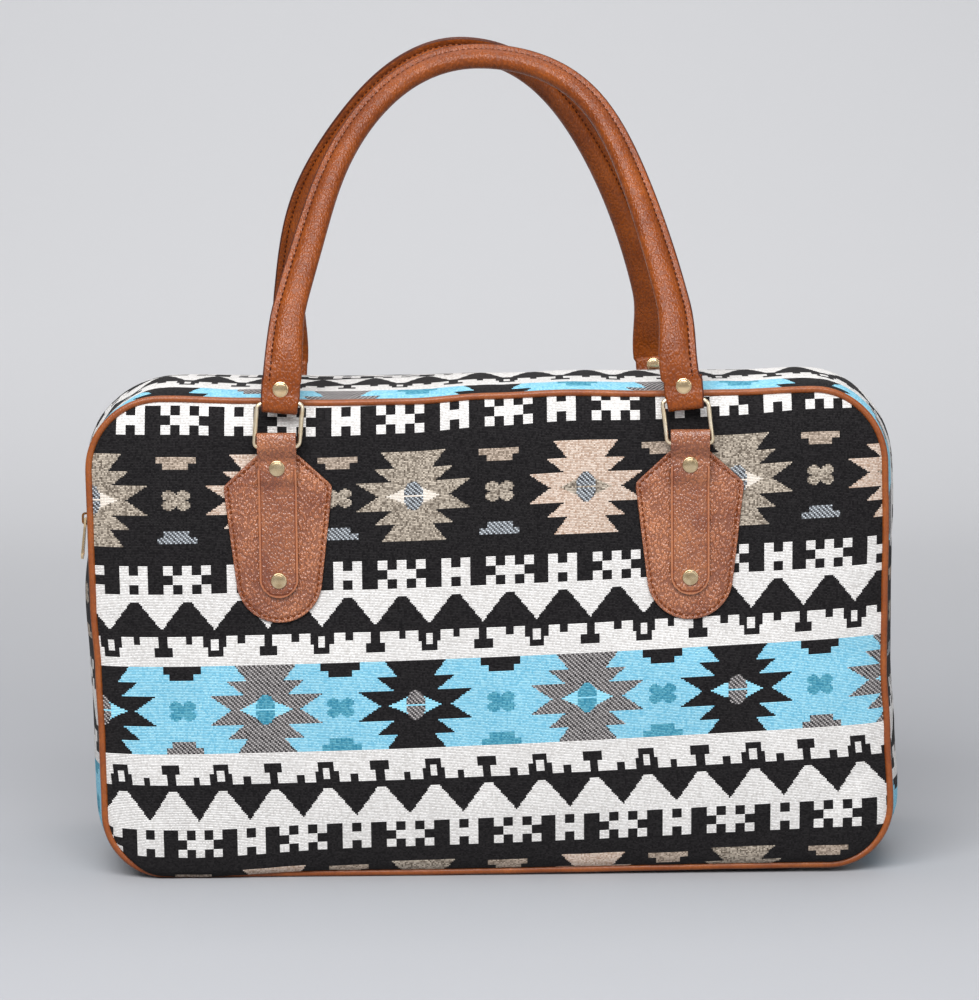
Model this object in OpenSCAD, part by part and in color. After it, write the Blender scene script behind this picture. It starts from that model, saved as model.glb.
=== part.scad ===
// Boxy soft travel bag in woven cloth with leather trim.
// Width runs along X, depth along Y with the front at -Y, and height along Z.
// The origin is on the floor, under the middle of the bag.

/* [Bag body] */
// Width over the piping
bag_w = 508; // [440:1:560]
// Height over the piping, without the handles
bag_h = 309; // [280:1:340]
// Depth between the front seam and the back seam
bag_d = 180; // [150:1:220]
// Radius of the upper panel corners
top_corner_r = 48; // [44:1:60]
// Radius of the lower panel corners
bottom_corner_r = 42; // [42:1:60]
// How far the padded panels stand out of their seams
panel_puff = 8; // [4:1:12]
// How far the soft sides bulge between the seams
side_bulge = 10; // [4:1:14]
// How far the top bulges between the seams
top_bulge = 10; // [0:1:14]
// Thickness of the padded cloth
cloth_t = 2.6; // [2:0.1:4]

/* [Piping] */
// Diameter of the leather-covered cord
piping_dia = 5; // [4:0.5:7]

/* [Zip] */
// Height at which the zip ends on both sides
zip_end_z = 212; // [180:1:240]
// Opening between the two cloth edges along the zip
zip_gap = 12; // [11:0.5:16]

/* [Handles] */
// Distance between the two ends of a handle
handle_span = 258; // [200:2:300]
// Height of a handle's middle above its rings
handle_rise = 217; // [180:1:240]
// Width of the straps, a nominal inch
strap_w = 24.2; // [20:0.1:30]
// Sideways shift of the front handle and its patches
front_shift = -3.5; // [-12:0.5:12]
// Sideways shift of the back handle and its patches
back_shift = -11; // [-12:0.5:12]
// How far the front handle slumps to the left
front_slump = 12; // [0:1:15]
// How far the back handle slumps to the left
back_slump = 10; // [0:1:15]
// How far the right shoulder of a handle stands out
handle_shoulder = 24; // [0:1:30]
// Extra rise of the back handle
back_extra_rise = 5; // [0:1:8]

/* [Hardware] */
// Diameter of the ring wire
wire_dia = 3; // [2.5:0.1:4]
// Diameter of the rivet caps
rivet_dia = 10; // [8:0.5:12]

/* [Hidden] */
$fn = 48;
cloth = "#2a292d";
leather = "#97502a";
pale_gold = "#d6bd8c";
aged_brass = "#8a5a34";
tape = "#3a2c26";

half_w = bag_w / 2;
seam_y = bag_d / 2;
piping_r = piping_dia / 2;

// The piping's sewn-in edge lies between panel and gusset.
flange_t = 1;
flange_w = 10;
flange_inset = 1.2;
flange_front_y = seam_y - 1.6;
gusset_y = flange_front_y - flange_t;

// The panel rises from its seam to a flat plateau.
panel_inset = piping_dia + 0.1;
panel_falloff = 30;
panel_steps = [0, 4, 9, 16, 23, panel_falloff];
panel_edge_y = flange_front_y + cloth_t;
plateau_y = panel_edge_y + panel_puff;

corner_steps = 8;

// The zip is two tapes with a coil along each, with room for the slider's post between them.
tape_w = 15;
tape_t = 0.8;
coil_w = 2.5;
coil_h = 1.6;
coil_slit = 1.8;

// Leather thicknesses and levels in front of the plateau
leather_t = 2;
patch_y = plateau_y + leather_t;
clearance = 0.3;
wire_r = wire_dia / 2;
slot_r = wire_r + clearance;
fold_r = slot_r + leather_t;
ring_y = patch_y + leather_t + slot_r;

// The ring is a rectangle of wire, measured on the wire's middle line.
ring_inner_w = strap_w + 1.2;
ring_w = ring_inner_w + wire_dia;
ring_h = 27;
ring_bend_r = 2.1;
ring_low_z = bag_h - 32.5;
ring_top_z = ring_low_z + ring_h;

// The chape is the strap that holds the ring: folded over it and riveted to the patch.
chape_fold_z = ring_low_z + 5.1;
chape_end_z = 181;
chape_back_end_z = 255;
chape_rivets_z = [263, 192];

// The patch is a shield: narrow top, wide shoulders, round bottom.
patch_top_z = 272;
patch_top_w = 24;
patch_shoulder_z = 251.5;
patch_w = 69;
patch_round_r = 27;
patch_bottom_z = 165;

// Rivet caps and posts
cap_t = 1.9;
post_r = 1.4;
hole_r = post_r + 0.15;

// The handle's end is folded round the ring and riveted to itself.
eye_fold_z = ring_top_z - 2.4;
eye_rivet_z = ring_top_z + 9;
eye_top_z = eye_rivet_z + 6.5;
eye_t = 5.2;
eye_hold = 6;

// The handle leans from its ring to the middle, where it meets the other one.
lean_start_z = eye_top_z;
lean_ease = 0.08;
handle_gap = 0.7;
handle_tilt = 24;
handle_step = 4;
handle_sides = 14;
handle_mid_w = 20;
handle_top_w = 15;
handle_top_t = 12.5;
handle_low_t = 4;
top_half_t = (handle_top_t * cos(handle_tilt) + handle_top_w * sin(handle_tilt)) / 2;
handle_lean = ring_y - handle_gap / 2 - top_half_t;

// The slider is parked at the lower left end of the zip.
slider_l = 11;
slider_w = 8;
slider_plate_t = 1.5;
slider_z = zip_end_z + 9;
bridge_l = 8;
bridge_w = 2.4;
bridge_t = 1.2;
bridge_rise = 2.6;
puller_l = 27;
puller_w = 8;
puller_t = 1.4;
puller_bar_r = 0.8;
puller_window = 5.4;
puller_tilt = 6;

// A solid through a list of loops that all have the same even number of points.
// Each end is closed by strips across the loop, from point j to point n-1-j.
module skin(loops) {
    n = len(loops[0]);
    last = (len(loops) - 1) * n;
    walls = [
        for (i = [0 : len(loops) - 2], j = [0 : n - 1])
            let (a = i * n + j, b = i * n + (j + 1) % n)
            each [[a, b, b + n], [a, b + n, a + n]]
    ];
    ends = [
        for (j = [0 : n / 2 - 2])
            let (k = n - 1 - j)
            each [
                [j, k, k - 1], [j, k - 1, j + 1],
                [last + j, last + j + 1, last + k - 1], [last + j, last + k - 1, last + k]
            ]
    ];
    polyhedron(points = [for (loop = loops) each loop], faces = concat(walls, ends));
}

// A station is a place on the bag's outline: a corner's centre, its radius and the outward angle.
function arc_stations(x, z, r, from) = [
    for (k = [0 : corner_steps]) [x, z, r, from + 90 * k / corner_steps]
];
function station_point(s, offset) = [
    s[0] + (s[2] + offset) * cos(s[3]),
    s[1] + (s[2] + offset) * sin(s[3])
];

low_x = half_w - bottom_corner_r;
high_x = half_w - top_corner_r;
high_z = bag_h - top_corner_r;
low_corners = concat(
    arc_stations(-low_x, bottom_corner_r, bottom_corner_r, 180),
    arc_stations(low_x, bottom_corner_r, bottom_corner_r, 270)
);
high_corners = concat(
    arc_stations(high_x, high_z, top_corner_r, 0),
    arc_stations(-high_x, high_z, top_corner_r, 90)
);
outline = concat(low_corners, high_corners);

// The lower gusset's ends and the zip gusset's ends meet at this seam.
seam_gap = 0.1;
low_route = concat(
    [[-low_x, zip_end_z - seam_gap, bottom_corner_r, 180]],
    low_corners,
    [[low_x, zip_end_z - seam_gap, bottom_corner_r, 360]]
);
high_route = concat(
    [[high_x, zip_end_z, top_corner_r, 0]],
    high_corners,
    [[-high_x, zip_end_z, top_corner_r, 180]]
);

// The gusset swells most in the middle of its width, and not at all on the floor.
function swell(angle, y) = let (
    up = max(sin(angle), 0),
    amount = side_bulge * pow(cos(angle), 2) + top_bulge * pow(up, 2)
) amount * (1 - pow(abs(y) / gusset_y, 3));

// A band along a route. Each row is [y, height above the gusset's surface, depth below it].
module band(route, rows) {
    skin([
        for (s = route) concat(
            [for (r = rows) band_point(s, r[0], r[2])],
            [for (k = [len(rows) - 1 : -1 : 0]) band_point(s, rows[k][0], rows[k][1])]
        )
    ]);
}
function band_point(s, y, level) =
    let (p = station_point(s, swell(s[3], y) + level)) [p[0], y, p[1]];

// The outline at a distance inside the bag's edge, as a ring at one depth
function ring_at(inset, y) = [
    for (s = outline) let (p = station_point(s, -inset)) [p[0], y, p[1]]
];
function puff(d) = panel_puff * (1 - pow(1 - d / panel_falloff, 2));

// A padded panel, standing at -Y: plateau, falling edge, and the same form inside.
module panel_shell() {
    skin(concat(
        [for (k = [len(panel_steps) - 1 : -1 : 0])
            ring_at(panel_inset + panel_steps[k], -panel_edge_y - puff(panel_steps[k]))],
        [for (d = panel_steps) ring_at(panel_inset + d, -flange_front_y - puff(d))]
    ));
}

module panel(shift) {
    color(cloth) difference() {
        panel_shell();
        for (side = [-1, 1], z = chape_rivets_z)
            rivet_hole(shift + side * handle_span / 2, plateau_y, z);
    }
}

// A hole along Y through the cloth or leather behind the given face
module rivet_hole(x, y, z) {
    translate([x, -y - 20, z]) rotate([-90, 0, 0]) cylinder(r = hole_r, h = 40);
}

// The outline drawn flat in X and Z, at a distance inside the bag's edge
module outline_2d(inset) {
    union() {
        translate([-half_w + inset, bottom_corner_r])
            square([bag_w - 2 * inset, high_z - bottom_corner_r]);
        translate([-low_x, inset]) square([2 * low_x, bottom_corner_r]);
        translate([-high_x, high_z]) square([2 * high_x, top_corner_r - inset]);
        for (side = [-1, 1]) {
            translate([side * low_x, bottom_corner_r]) circle(r = bottom_corner_r - inset);
            translate([side * high_x, high_z]) circle(r = top_corner_r - inset);
        }
    }
}

// Lays a flat X-Z drawing upright with its front at -y and a thickness towards the back.
module upright(y, t) {
    translate([0, -y + t, 0]) rotate([90, 0, 0]) linear_extrude(t) children();
}

// A quarter of the piping's cord round one corner
module cord_corner(x, z, r, turn) {
    translate([x, 0, z]) rotate([90, 0, 0]) rotate([0, 0, turn])
        rotate_extrude(angle = 90) translate([r - piping_r, 0]) circle(r = piping_r);
}

module cord_run(x, z, length, along) {
    translate([x, 0, z]) rotate(along) cylinder(r = piping_r, h = length);
}

// Leather-covered cord round a panel, with its sewn-in edge
module piping() {
    color(leather) union() {
        upright(flange_front_y, flange_t) difference() {
            outline_2d(flange_inset);
            outline_2d(flange_inset + flange_w);
        }
        translate([0, -seam_y, 0]) {
            cord_corner(low_x, bottom_corner_r, bottom_corner_r, -90);
            cord_corner(high_x, high_z, top_corner_r, 0);
            cord_corner(-high_x, high_z, top_corner_r, 90);
            cord_corner(-low_x, bottom_corner_r, bottom_corner_r, 180);
            cord_run(-low_x, piping_r, 2 * low_x, [0, 90, 0]);
            cord_run(-high_x, bag_h - piping_r, 2 * high_x, [0, 90, 0]);
            for (side = [-1, 1])
                cord_run(side * (half_w - piping_r), bottom_corner_r, high_z - bottom_corner_r, [0, 0, 0]);
        }
    }
}

// Cloth from the left seam, under the bag, to the right seam
module lower_gusset() {
    color(cloth) band(low_route, [
        for (y = [-1, -0.86, -0.62, -0.22, 0.22, 0.62, 0.86, 1]) [y * gusset_y, 0, -cloth_t]
    ]);
}

// Cloth between the front piping and the zip, over the top
module zip_gusset_front() {
    color(cloth) band(high_route, [
        for (y = [-gusset_y, -75, -55, -35, -tape_w - coil_slit / 2, -zip_gap / 2]) [y, 0, -cloth_t]
    ]);
}

// Zip tape under the cloth's edge, with one half of the coil
module zip_tape_front() {
    inner = -coil_slit / 2;
    coil_edge = inner - coil_w;
    low = -cloth_t - tape_t;
    color(tape) band(high_route, [
        [inner - tape_w, -cloth_t, low],
        [-zip_gap / 2, -cloth_t, low],
        [coil_edge - 0.1, -cloth_t, low],
        [coil_edge, coil_h - cloth_t, low],
        [inner, coil_h - cloth_t, low]
    ]);
}

// Moves a shape drawn on the zip's surface to the slider's place: X across, Y up the zip, Z outwards.
module at_slider() {
    translate([-half_w - side_bulge, 0, slider_z]) rotate([90, 0, -90]) children();
}

coil_top = coil_h - cloth_t;
slider_top = coil_top + clearance + slider_plate_t;
slider_inner = -cloth_t - tape_t - clearance;
hinge_n = slider_top + bridge_rise / 2;

module slider_plate_2d() {
    hull() {
        translate([0, slider_l / 2 - slider_w / 2]) circle(d = slider_w);
        translate([-slider_w * 0.36, -slider_l / 2]) square([slider_w * 0.72, 1]);
    }
}

// Slider body: two plates joined by a post, and a bridge for the puller
module zip_slider() {
    color(aged_brass) at_slider() union() {
        translate([0, 0, slider_top - slider_plate_t])
            linear_extrude(slider_plate_t) slider_plate_2d();
        translate([0, 0, slider_inner - slider_plate_t])
            linear_extrude(slider_plate_t) slider_plate_2d();
        translate([-coil_slit / 3, slider_l / 2 - 3, slider_inner - slider_plate_t / 2])
            cube([coil_slit * 2 / 3, 2, slider_top - slider_inner]);
        translate([bridge_w / 2, 0, slider_top]) rotate([0, -90, 0]) linear_extrude(bridge_w)
            difference() {
                bridge_side_2d(bridge_rise + bridge_t, bridge_l);
                bridge_side_2d(bridge_rise, bridge_l - 2 * bridge_t);
            }
    }
}

// Side view of the bridge: height along X, length along Y, starting just inside the plate
module bridge_side_2d(rise, length) {
    corner = (rise + 0.4) / 2;
    union() {
        translate([-0.4, -length / 2]) square([rise + 0.4 - corner, length]);
        translate([0, -length / 2 + corner]) square([rise, length - 2 * corner]);
        for (side = [-1, 1])
            translate([rise - corner, side * (length / 2 - corner)]) circle(r = corner);
    }
}

// Pull tab that hangs from the bridge by a round bar
module zip_puller() {
    arm = bridge_w / 2 + 0.5;
    color(pale_gold) at_slider() translate([0, 0, hinge_n]) rotate([-puller_tilt, 0, 0]) union() {
        rotate([0, 90, 0]) cylinder(r = puller_bar_r, h = 2 * arm + 2, center = true);
        translate([0, 0, -puller_t / 2]) linear_extrude(puller_t) difference() {
            union() {
                translate([-arm - 1, -puller_window - 2]) square([2 * arm + 2, puller_window + 2]);
                polygon([
                    [-arm - 1, -puller_window], [arm + 1, -puller_window],
                    [puller_w / 2, -puller_l + puller_w / 2], [-puller_w / 2, -puller_l + puller_w / 2]
                ]);
                translate([0, -puller_l + puller_w / 2]) circle(d = puller_w);
            }
            translate([-arm, -puller_window]) square([2 * arm, puller_window + 1]);
            translate([0, -puller_l + puller_w / 2]) circle(d = puller_w * 0.45);
        }
    }
}

// Shield outline: straight shoulders and sides that run into a round bottom
module patch_2d() {
    round_z = patch_bottom_z + patch_round_r;
    shoulder = [patch_w / 2, patch_shoulder_z - round_z];
    reach = norm(shoulder);
    touch = atan2(shoulder[1], shoulder[0]) - acos(patch_round_r / reach);
    touch_x = patch_round_r * cos(touch);
    touch_z = round_z + patch_round_r * sin(touch);
    union() {
        polygon([
            [-patch_top_w / 2, patch_top_z], [-patch_w / 2, patch_shoulder_z], [-touch_x, touch_z],
            [touch_x, touch_z], [patch_w / 2, patch_shoulder_z], [patch_top_w / 2, patch_top_z]
        ]);
        translate([0, round_z]) circle(r = patch_round_r);
    }
}

// Leather shield behind the chape, drawn for x = 0 on the front
module patch() {
    color(leather) difference() {
        upright(patch_y, leather_t) patch_2d();
        for (z = chape_rivets_z) rivet_hole(0, patch_y, z);
    }
}

// Draws a side view, with depth from the back to the front along X and height along Y.
module side_view(w) {
    translate([-w / 2, 0, 0]) rotate([90, 0, -90]) mirror([0, 0, 1]) linear_extrude(w) children();
}

module slot_2d(y, z0, z1) {
    union() {
        translate([y, z0]) circle(r = slot_r);
        translate([y, z1]) circle(r = slot_r);
        translate([y - slot_r, z0]) square([2 * slot_r, z1 - z0]);
    }
}

// Strap folded over the ring's lower bar, lying on itself and then on the patch
module chape() {
    front_y = ring_y + fold_r;
    double_y = patch_y + 2 * leather_t;
    single_y = patch_y + leather_t;
    knee_z = ring_low_z - slot_r;
    color(leather) difference() {
        intersection() {
            side_view(strap_w) difference() {
                union() {
                    polygon([
                        [patch_y, chape_end_z], [single_y, chape_end_z],
                        [single_y, chape_back_end_z - 4], [double_y, chape_back_end_z + 3],
                        [double_y, knee_z - 6.5], [front_y, knee_z + 1], [front_y, chape_fold_z],
                        [patch_y, chape_fold_z]
                    ]);
                    translate([ring_y, chape_fold_z]) circle(r = fold_r);
                }
                slot_2d(ring_y, ring_low_z, chape_fold_z);
            }
            upright(front_y + 1, fold_r * 2 + 4) union() {
                translate([0, chape_end_z + strap_w / 2]) circle(d = strap_w);
                translate([-strap_w / 2, chape_end_z + strap_w / 2])
                    square([strap_w, chape_fold_z + fold_r - chape_end_z]);
            }
        }
        for (z = chape_rivets_z) rivet_hole(0, patch_y, z);
    }
}

// Rivet through layers from a front face to a back face, with a domed cap on each
module rivet(front_y, back_y, z) {
    r = rivet_dia / 2;
    translate([0, -front_y, z]) rotate([90, 0, 0]) rotate_extrude()
        polygon([[0, 0], [r, 0], [r, cap_t * 0.4], [r * 0.82, cap_t * 0.8], [0, cap_t]]);
    translate([0, -front_y - 0.2, z]) rotate([-90, 0, 0])
        cylinder(r = post_r, h = front_y - back_y + 0.4);
    translate([0, -back_y, z]) rotate([-90, 0, 0]) cylinder(r = r * 0.8, h = cap_t * 0.6);
}

module chape_rivets() {
    back_y = plateau_y - cloth_t;
    color(pale_gold) union() {
        rivet(patch_y + 2 * leather_t, back_y, chape_rivets_z[0]);
        rivet(patch_y + leather_t, back_y, chape_rivets_z[1]);
    }
}

// Rectangular ring of round wire, standing in the chape's fold
module ring() {
    x = ring_w / 2;
    r = ring_bend_r;
    color(pale_gold) translate([0, -ring_y, ring_low_z]) union() {
        for (z = [0, ring_h])
            translate([-x + r, 0, z]) rotate([0, 90, 0]) cylinder(r = wire_r, h = ring_w - 2 * r);
        for (side = [-1, 1])
            translate([side * x, 0, r]) cylinder(r = wire_r, h = ring_h - 2 * r);
        for (c = [[1, 1, 0], [-1, 1, 90], [-1, 0, 180], [1, 0, 270]])
            translate([c[0] * (x - r), 0, c[1] ? ring_h - r : r]) rotate([90, 0, 0]) rotate([0, 0, c[2]])
                rotate_extrude(angle = 90) translate([r, 0]) circle(r = wire_r);
    }
}

// Side view of a handle's end: folded under the ring's upper bar and closed above it
module handle_eye() {
    side_view(strap_w) difference() {
        union() {
            polygon([
                [ring_y - fold_r, eye_fold_z], [ring_y + fold_r, eye_fold_z],
                [ring_y + fold_r, ring_top_z + 1], [ring_y + eye_t / 2, ring_top_z + 3.8],
                [ring_y + eye_t / 2, eye_top_z], [ring_y - eye_t / 2, eye_top_z],
                [ring_y - eye_t / 2, ring_top_z + 3.8], [ring_y - fold_r, ring_top_z + 1]
            ]);
            translate([ring_y, eye_fold_z]) circle(r = fold_r);
        }
        slot_2d(ring_y, eye_fold_z, ring_top_z);
    }
}

// The handle's middle line is half an ellipse that slumps sideways and leans inwards.
// Angle 0 is the right end and 180 the left end.
function handle_x(a, slump) =
    handle_span / 2 * cos(a) - slump * sin(a) * (1 + 1.4 * cos(a))
    + handle_shoulder * pow(sin(a), 6) * max(cos(a), 0);
function handle_z(a, rise) = ring_top_z + rise * sin(a);
function lean_curve(s) =
    s < 0 ? 0 : (sqrt(s * s + lean_ease * lean_ease) - lean_ease)
        / (sqrt(1 + lean_ease * lean_ease) - lean_ease);
function handle_y(z, rise) =
    -ring_y + handle_lean * lean_curve((z - lean_start_z) / (ring_top_z + rise - lean_start_z));
function handle_point(a, rise, slump) =
    let (z = handle_z(a, rise)) [handle_x(a, slump), handle_y(z, rise), z];

function unit(v) = v / norm(v);
function blend(a, b, t) = a + (b - a) * min(max(t, 0), 1);
function smooth(t) = let (c = min(max(t, 0), 1)) c * c * (3 - 2 * c);

// The section is flat and wide at the ends, and rolled nearly round at the top.
function handle_section(a, rise, slump) = let (
    p = handle_point(a, rise, slump),
    ahead = handle_point(a + 0.5, rise, slump),
    behind = handle_point(a - 0.5, rise, slump),
    along = unit(ahead - behind),
    slope = (handle_y(p[2] + 0.5, rise) - handle_y(p[2] - 0.5, rise)),
    through = unit([0, 1, -slope]),
    across = cross(through, along),
    up = sin(a) - (eye_top_z - ring_top_z) / rise,
    low_w = blend(strap_w - 1.4, handle_mid_w, smooth(up * 4)),
    w = blend(low_w, handle_top_w, smooth((up - 0.25) / 0.6)) / 2,
    t = blend(handle_low_t, handle_top_t, smooth(up * 1.5)) / 2
) [
    for (k = [0 : handle_sides - 1]) let (
        phi = -360 * (k + 0.5) / handle_sides,
        u = w * sign(cos(phi)) * pow(abs(cos(phi)), 0.7),
        v = t * sign(sin(phi)) * pow(abs(sin(phi)), 0.7)
    ) p + u * across + v * through
];

// Rolled leather handle on the front, with its folded ends
module handle(shift, rise, slump) {
    first = asin((eye_top_z - eye_hold - ring_top_z) / rise);
    steps = round((180 - 2 * first) / handle_step);
    color(leather) translate([shift, 0, 0]) difference() {
        union() {
            skin([for (k = [0 : steps]) handle_section(first + (180 - 2 * first) * k / steps, rise, slump)]);
            for (side = [-1, 1]) translate([side * handle_span / 2, 0, 0]) handle_eye();
        }
        for (side = [-1, 1]) rivet_hole(side * handle_span / 2, ring_y, eye_rivet_z);
    }
}

module handle_rivets(shift) {
    color(pale_gold) for (side = [-1, 1])
        translate([shift + side * handle_span / 2, 0, 0])
            rivet(ring_y + eye_t / 2, ring_y - eye_t / 2, eye_rivet_z);
}

// Places a front piece at the left (-1) or the right (1) end of a handle.
module at_front(side) {
    translate([front_shift + side * handle_span / 2, 0, 0]) children();
}
module at_back(side) {
    mirror([0, 1, 0]) translate([back_shift + side * handle_span / 2, 0, 0]) children();
}

panel(front_shift);  // front_panel
mirror([0, 1, 0]) panel(back_shift);  // back_panel
lower_gusset();
zip_gusset_front();
mirror([0, 1, 0]) zip_gusset_front();  // zip_gusset_back
piping();  // front_piping
mirror([0, 1, 0]) piping();  // back_piping
zip_tape_front();
mirror([0, 1, 0]) zip_tape_front();  // zip_tape_back
zip_slider();
zip_puller();
at_front(-1) patch();  // front_left_patch
at_front(1) patch();  // front_right_patch
at_back(-1) patch();  // back_left_patch
at_back(1) patch();  // back_right_patch
at_front(-1) chape();  // front_left_chape
at_front(1) chape();  // front_right_chape
at_back(-1) chape();  // back_left_chape
at_back(1) chape();  // back_right_chape
at_front(-1) chape_rivets();  // front_left_chape_rivets
at_front(1) chape_rivets();  // front_right_chape_rivets
at_back(-1) chape_rivets();  // back_left_chape_rivets
at_back(1) chape_rivets();  // back_right_chape_rivets
at_front(-1) ring();  // front_left_ring
at_front(1) ring();  // front_right_ring
at_back(-1) ring();  // back_left_ring
at_back(1) ring();  // back_right_ring
handle(front_shift, handle_rise, front_slump);  // front_handle
mirror([0, 1, 0]) handle(back_shift, handle_rise + back_extra_rise, back_slump);  // back_handle
handle_rivets(front_shift);  // front_handle_rivets
mirror([0, 1, 0]) handle_rivets(back_shift);  // back_handle_rivets
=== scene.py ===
# %% [markdown]
# # A soft travel bag in woven cloth
# This lesson dresses a CAD model of a boxy travel bag. The CAD solids give every place and size, so each
# piece here is made where its solid is, in metres: X runs along the width, Y to the back, Z up. The bag
# is sewn from padded cloth with a woven geometric pattern, edged with leather piping, and carried by two
# rolled leather handles on rectangular rings.

# %% Load the frame
import math
import bpy
from mathutils import Matrix, Vector, noise


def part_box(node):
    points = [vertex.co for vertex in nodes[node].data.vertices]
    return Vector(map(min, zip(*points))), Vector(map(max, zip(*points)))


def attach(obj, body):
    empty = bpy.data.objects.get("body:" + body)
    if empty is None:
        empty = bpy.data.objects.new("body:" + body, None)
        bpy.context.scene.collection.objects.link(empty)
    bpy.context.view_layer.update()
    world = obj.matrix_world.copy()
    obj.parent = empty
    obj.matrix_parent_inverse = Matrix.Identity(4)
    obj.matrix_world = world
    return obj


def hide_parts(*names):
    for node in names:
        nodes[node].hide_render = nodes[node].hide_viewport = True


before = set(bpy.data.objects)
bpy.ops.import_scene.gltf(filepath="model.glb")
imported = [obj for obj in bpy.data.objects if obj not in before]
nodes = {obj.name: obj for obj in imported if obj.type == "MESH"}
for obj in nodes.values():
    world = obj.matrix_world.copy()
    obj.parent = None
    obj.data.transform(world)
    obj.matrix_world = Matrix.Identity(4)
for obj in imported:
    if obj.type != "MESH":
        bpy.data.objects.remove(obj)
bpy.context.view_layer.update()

# %% [markdown]
# ## Sizes
# The sizes are read off the CAD nodes where they can be, so that the soft pieces and the solids agree.
# The few that a box can't tell, such as corner radii, are written down once.

# %% Sizes of the body
piping_low, piping_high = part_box("front_piping")
HALF_W = piping_high[0]
BAG_H = piping_high[2]
PIPING_R = 0.0025
SEAM_Y = -piping_low[1] - PIPING_R
GUSSET_Y = SEAM_Y - 0.0026
TOP_R, LOW_R = 0.048, 0.042
ZIP_END_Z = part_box("lower_gusset")[1][2]
ZIP_HALF_GAP = 0.006
PLATEAU_Y = -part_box("front_panel")[0][1]
print(f"body {2 * HALF_W:.3f} x {2 * SEAM_Y:.3f} x {BAG_H:.3f} m, its panels reach {PLATEAU_Y:.4f} m out")

# %% [markdown]
# ## Camera
# The photograph is taken from about two metres, a little above the bag and looking slightly down. A long
# lens keeps the sides nearly parallel. A small roll takes up the tilt of the picture.

# %% Camera
camera_data = bpy.data.cameras.new("camera")
camera_data.sensor_width = 36
camera_data.lens = 112.7
camera = bpy.data.objects.new("camera", camera_data)
bpy.context.scene.collection.objects.link(camera)
camera.location = (0, -2.05, 0.4497)
camera.rotation_euler = (math.radians(90 - 6.094), math.radians(0.5), -0.00092)
bpy.context.scene.camera = camera
print("camera at", tuple(round(v, 3) for v in camera.location))

# %% [markdown]
# ## The slouch of the body
# Soft bags never stand as square as their pattern. The seam lines of this one dip between the handles and
# lean a little at the lower left. One function moves any point of the soft body by small amounts, given
# as a few values along each edge, so that cloth and piping stay together. Its effect fades towards the
# back and around the leather patches, because the handles' hardware stays where the CAD has it.

# %% Slouch
# Millimetres, evenly spaced: along top and bottom from the left, and up both sides from the floor.
TOP_LIFT = (0.0, -0.5, -2.2, -4.0, -3.5, -0.5, 1.2, 0.0, 0.4, 2.0, 0.5)
BOTTOM_LIFT = (0.0, 0.0, 0.0, 0.0, 0.0, 0.4, 1.0, 1.6, 2.2, 2.6, 1.6)
LEFT_SHIFT = (5.0, 5.0, 4.4, 3.0, 0.6, 0.0, -0.5, 0.0)
RIGHT_SHIFT = (1.0, 1.6, -0.5, -3.0, -2.6, -2.0, -2.6, -2.0)


def along(values, t):
    """A smooth value along an edge, from evenly spaced ones."""
    place = min(max(t, 0.0), 1.0) * (len(values) - 1)
    k = min(int(place), len(values) - 2)
    f = place - k
    f = f * f * (3 - 2 * f)
    return values[k] + (values[k + 1] - values[k]) * f


def ease(t):
    t = min(max(t, 0.0), 1.0)
    return t * t * (3 - 2 * t)


def slouch(p):
    """Moves a point of the soft body from its sewn place to its slouched one."""
    front = 0.35 + 0.65 * ease(0.5 - p.y / (2 * SEAM_Y))
    u = (p.x + HALF_W) / (2 * HALF_W)
    w = p.z / BAG_H
    dz = along(TOP_LIFT, u) * ease((p.z - 0.20) / 0.11) + along(BOTTOM_LIFT, u) * ease((0.16 - p.z) / 0.16)
    dx = along(LEFT_SHIFT, w) * ease((-p.x - 0.15) / 0.10) + along(RIGHT_SHIFT, w) * ease((p.x - 0.15) / 0.10)
    return Vector((p.x + 0.001 * dx * front, p.y, p.z + 0.001 * dz * front))


dip = BAG_H - slouch(Vector((-0.1, -SEAM_Y, BAG_H))).z
print(f"the top seam dips by {1000 * dip:.1f} mm between the handles")

# %% [markdown]
# ## Small helpers for modelling
# Operators act on what is selected and active, so each piece starts from a clean selection. A grid
# primitive is the start of every sheet: a function then gives each of its points a place.

# %% Helpers for modelling


def only(obj):
    """Selects one object alone and makes it active."""
    bpy.ops.object.select_all(action="DESELECT")
    obj.select_set(True)
    bpy.context.view_layer.objects.active = obj
    return obj


def sheet_from_grid(name, columns, rows, place):
    """A grid primitive whose point at (p, q), both from 0 to 1, goes to place(p, q)."""
    bpy.ops.object.select_all(action="DESELECT")
    bpy.ops.mesh.primitive_grid_add(x_subdivisions=columns, y_subdivisions=rows, size=1, calc_uvs=True)
    obj = bpy.context.object
    obj.name = obj.data.name = name
    for v in obj.data.vertices:
        v.co = place(v.co.x + 0.5, v.co.y + 0.5)
    return obj


def lay_pattern(obj, cloth_place):
    """Writes the cloth's flat place in metres to the UV map that the woven pattern follows."""
    layer = obj.data.uv_layers[0]
    layer.name = "Weave"
    for loop in layer.data:
        loop.uv = cloth_place(loop.uv[0], loop.uv[1])


def smooth(obj):
    only(obj)
    bpy.ops.object.shade_smooth()


def stand_in(obj, body, replaced):
    """Says which body a piece moves with, and hides the CAD node it stands for."""
    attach(obj, body)
    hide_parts(replaced)
    return obj


print("helpers ready")

# %% [markdown]
# ## Swelling by cloth simulation
# A padded panel is sewn down round its edge and pushed out by what is behind it. That is what Blender's
# Cloth does with pinned edges and pressure: the sheet swells, and its slack gathers into soft puckers
# along the seams. The swelling is then limited, so that the panel ends as the flat-topped cushion that
# the CAD has.

# %% Swelling


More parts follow.
